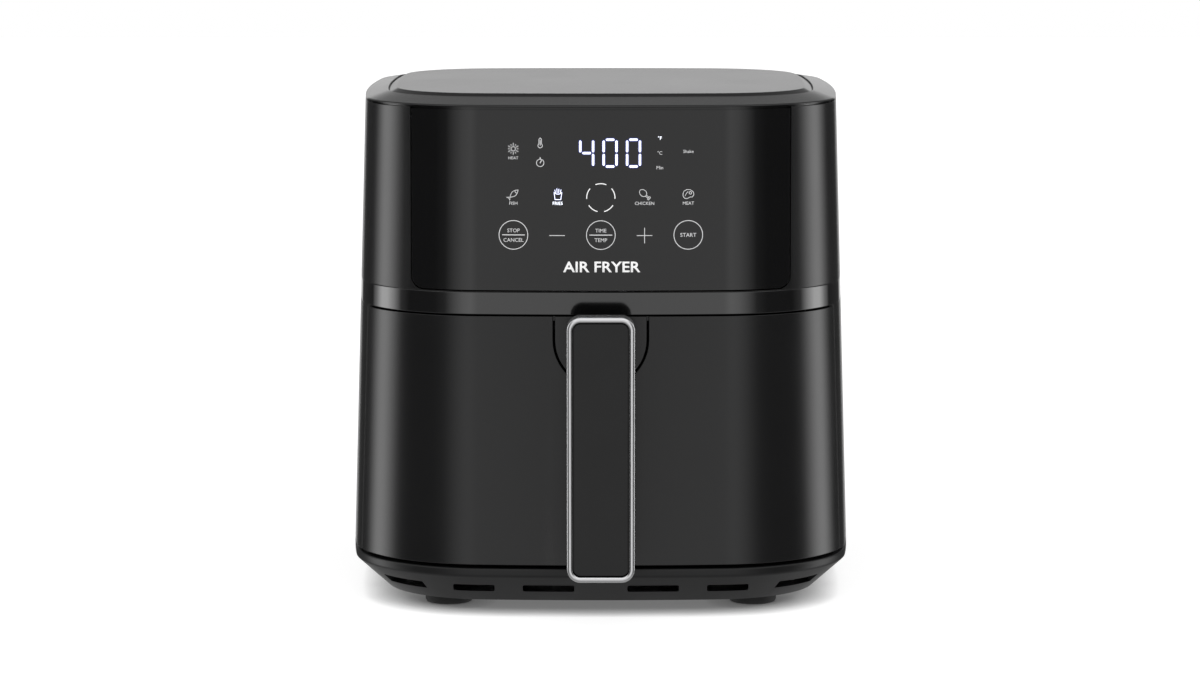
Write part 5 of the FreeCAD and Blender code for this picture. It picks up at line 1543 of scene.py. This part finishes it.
@dataclass
class Studio:
    """Pale floor with a painted contact shadow, white surround, tall soft lights, dark flags and the camera.
    """

    floor_half: float = 6.0
    around: tuple[Point2, ...] = ((0, 0.88), (12, 0.92), (17, 1.2), (24, 1.05), (31, 0.7), (40, 0.16),
                                  (50, 0.06), (76, 0.05),
                                  (86, 0.25), (95, 1.9), (104, 3.1), (112, 2.8), (121, 0.9), (129, 0.06),
                                  (160, 0.06), (170, 0.72), (180, 0.74))
    overhead: Point2 = (1.25, 0.2)
    below: float = 0.4
    floor_glow: float = 0.8
    # reach of the painted contact shadow that ambient occlusion draws on the floor
    contact: float = 16 * MM
    lens_mm: float = 126.4
    film_mm: float = 36.0
    camera_at: tuple[float, float, float] = (-0.0005, -2.6351, 0.4884)
    camera_pitch: float = 82.704

    def floor(self) -> bpy.types.Object:
        """Lay the pale floor, which glows evenly and carries a painted contact shadow where ambient
        occlusion dims its glow near the body.

        Returns:
            The floor's object.
        """
        h = self.floor_half
        item = sheet_mesh("floor",
                          [Vector((-h, -h, 0)), Vector((h, -h, 0)), Vector((h, h, 0)), Vector((-h, h, 0))])
        paper = flat_material("floor_paper", (0.45, 0.45, 0.45))
        shader = paper.node_tree.nodes["Principled BSDF"]
        # painted contact shadow: ambient occlusion dims the floor's glow close to the body
        near = add_node(paper.node_tree, "ShaderNodeAmbientOcclusion", {"Distance": self.contact})
        paper.node_tree.links.new(near.outputs["Color"], shader.inputs["Emission Color"])
        shader.inputs["Emission Strength"].default_value = self.floor_glow
        item.data.materials.append(paper)
        item.visible_glossy = False
        return item

    def surround(self) -> None:
        """Light softly from all round, with tall strips beside the body, and show white to the camera."""
        world = bpy.data.worlds.new("surround")
        world.use_nodes = True
        tree = world.node_tree
        place = add_node(tree, "ShaderNodeTexCoord")
        axes = add_node(tree, "ShaderNodeSeparateXYZ", {"Vector": place.outputs["Generated"]})
        across = add_node(tree, "ShaderNodeMath", {"0": axes.outputs["X"]}, operation="ABSOLUTE")
        ahead = add_node(tree, "ShaderNodeMath", {"0": axes.outputs["Y"], "1": -1.0}, operation="MULTIPLY")
        turn = add_node(tree, "ShaderNodeMath", {"0": across.outputs[0], "1": ahead.outputs[0]},
                        operation="ARCTAN2")
        share = add_node(tree, "ShaderNodeMath", {"0": turn.outputs[0], "1": math.pi}, operation="DIVIDE")
        ramp = add_node(tree, "ShaderNodeValToRGB", {"Fac": share.outputs[0]})
        stops = ramp.color_ramp.elements
        for _ in range(len(self.around) - 2):
            stops.new(0.5)
        top = max(level for _, level in self.around)
        for stop, (degrees, level) in zip(stops, self.around):
            stop.position = degrees / 180
            stop.color = (level / top, level / top, level / top, 1.0)
        middle = add_node(tree, "ShaderNodeMath", {"0": ramp.outputs[0], "1": top}, operation="MULTIPLY")
        above = add_node(tree, "ShaderNodeMapRange",
                         {"Value": axes.outputs["Y"], "From Min": -0.4, "From Max": 0.5,
                                                     "To Min": self.overhead[0], "To Max": self.overhead[1]})
        behind = add_node(tree, "ShaderNodeMapRange",
                          {"Value": axes.outputs["Y"], "From Min": 0.5, "From Max": 0.9,
                                                      "To Min": 0.4, "To Max": 0.11})
        full = add_node(tree, "ShaderNodeMath", {"0": behind.outputs[0], "1": 1.6}, operation="MULTIPLY")
        rising = add_node(tree, "ShaderNodeMapRange",
                          {"Value": axes.outputs["Z"], "From Min": behind.outputs[0],
                                                      "From Max": full.outputs[0]})
        falling = add_node(tree, "ShaderNodeMapRange", {"Value": axes.outputs["Z"], "From Min": -0.25,
                                                       "From Max": -0.6})
        upper = add_node(tree, "ShaderNodeMix", {"Factor": rising.outputs[0], "A": middle.outputs[0],
                                                 "B": above.outputs[0]})
        lower = add_node(tree, "ShaderNodeMix", {"Factor": falling.outputs[0], "A": upper.outputs[0],
                                                 "B": self.below})
        path = add_node(tree, "ShaderNodeLightPath")
        seen = add_node(tree, "ShaderNodeMix",
                        {"Factor": path.outputs["Is Camera Ray"], "A": lower.outputs[0],
                                                "B": 1.0})
        tree.links.new(seen.outputs[0], tree.nodes["Background"].inputs["Strength"])
        tree.nodes["Background"].inputs["Color"].default_value = (1, 1, 1, 1)
        bpy.context.scene.world = world

    def camera(self) -> None:
        """Place the long-lens camera in front, slightly above the lid."""
        lens = bpy.data.cameras.new("camera")
        lens.lens = self.lens_mm
        lens.sensor_width = self.film_mm
        lens.clip_end = 60.0
        item = bpy.data.objects.new("camera", lens)
        item.location = self.camera_at
        item.rotation_euler = (math.radians(self.camera_pitch), 0.0, 0.0)
        bpy.context.scene.collection.objects.link(item)
        bpy.context.scene.camera = item

    def build(self) -> None:
        """Set the whole stage."""
        self.floor()
        self.surround()
        self.camera()
        view = bpy.context.scene.view_settings
        view.view_transform = "Standard"
        view.look = "None"
        view.exposure = 0.0
        view.gamma = 1.0


# ---------------------------------------------------------------- assembly
def node_slots() -> dict[str, Slot]:
    """Material slot of every frame node, from the record."""
    return {entry["node"]: Slot(entry["material_slot"]) for entry in frame["record"]["subparts"]}


def dress_frame() -> None:
    """Give every frame node the finish of its slot."""
    slots = node_slots()
    for name, item in frame["nodes"].items():
        item.data.materials.clear()
        item.data.materials.append(FINISHES[slots[name]].build())


def main() -> None:
    """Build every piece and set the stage."""
    logging.basicConfig(level=logging.INFO, format="%(name)s: %(message)s")
    dress_frame()
    Plinth().build()
    Shells().build()
    ControlPanel().build()
    Drawer().build()
    Detail().build()
    Studio().build()


if __name__ == "__main__":
    main()
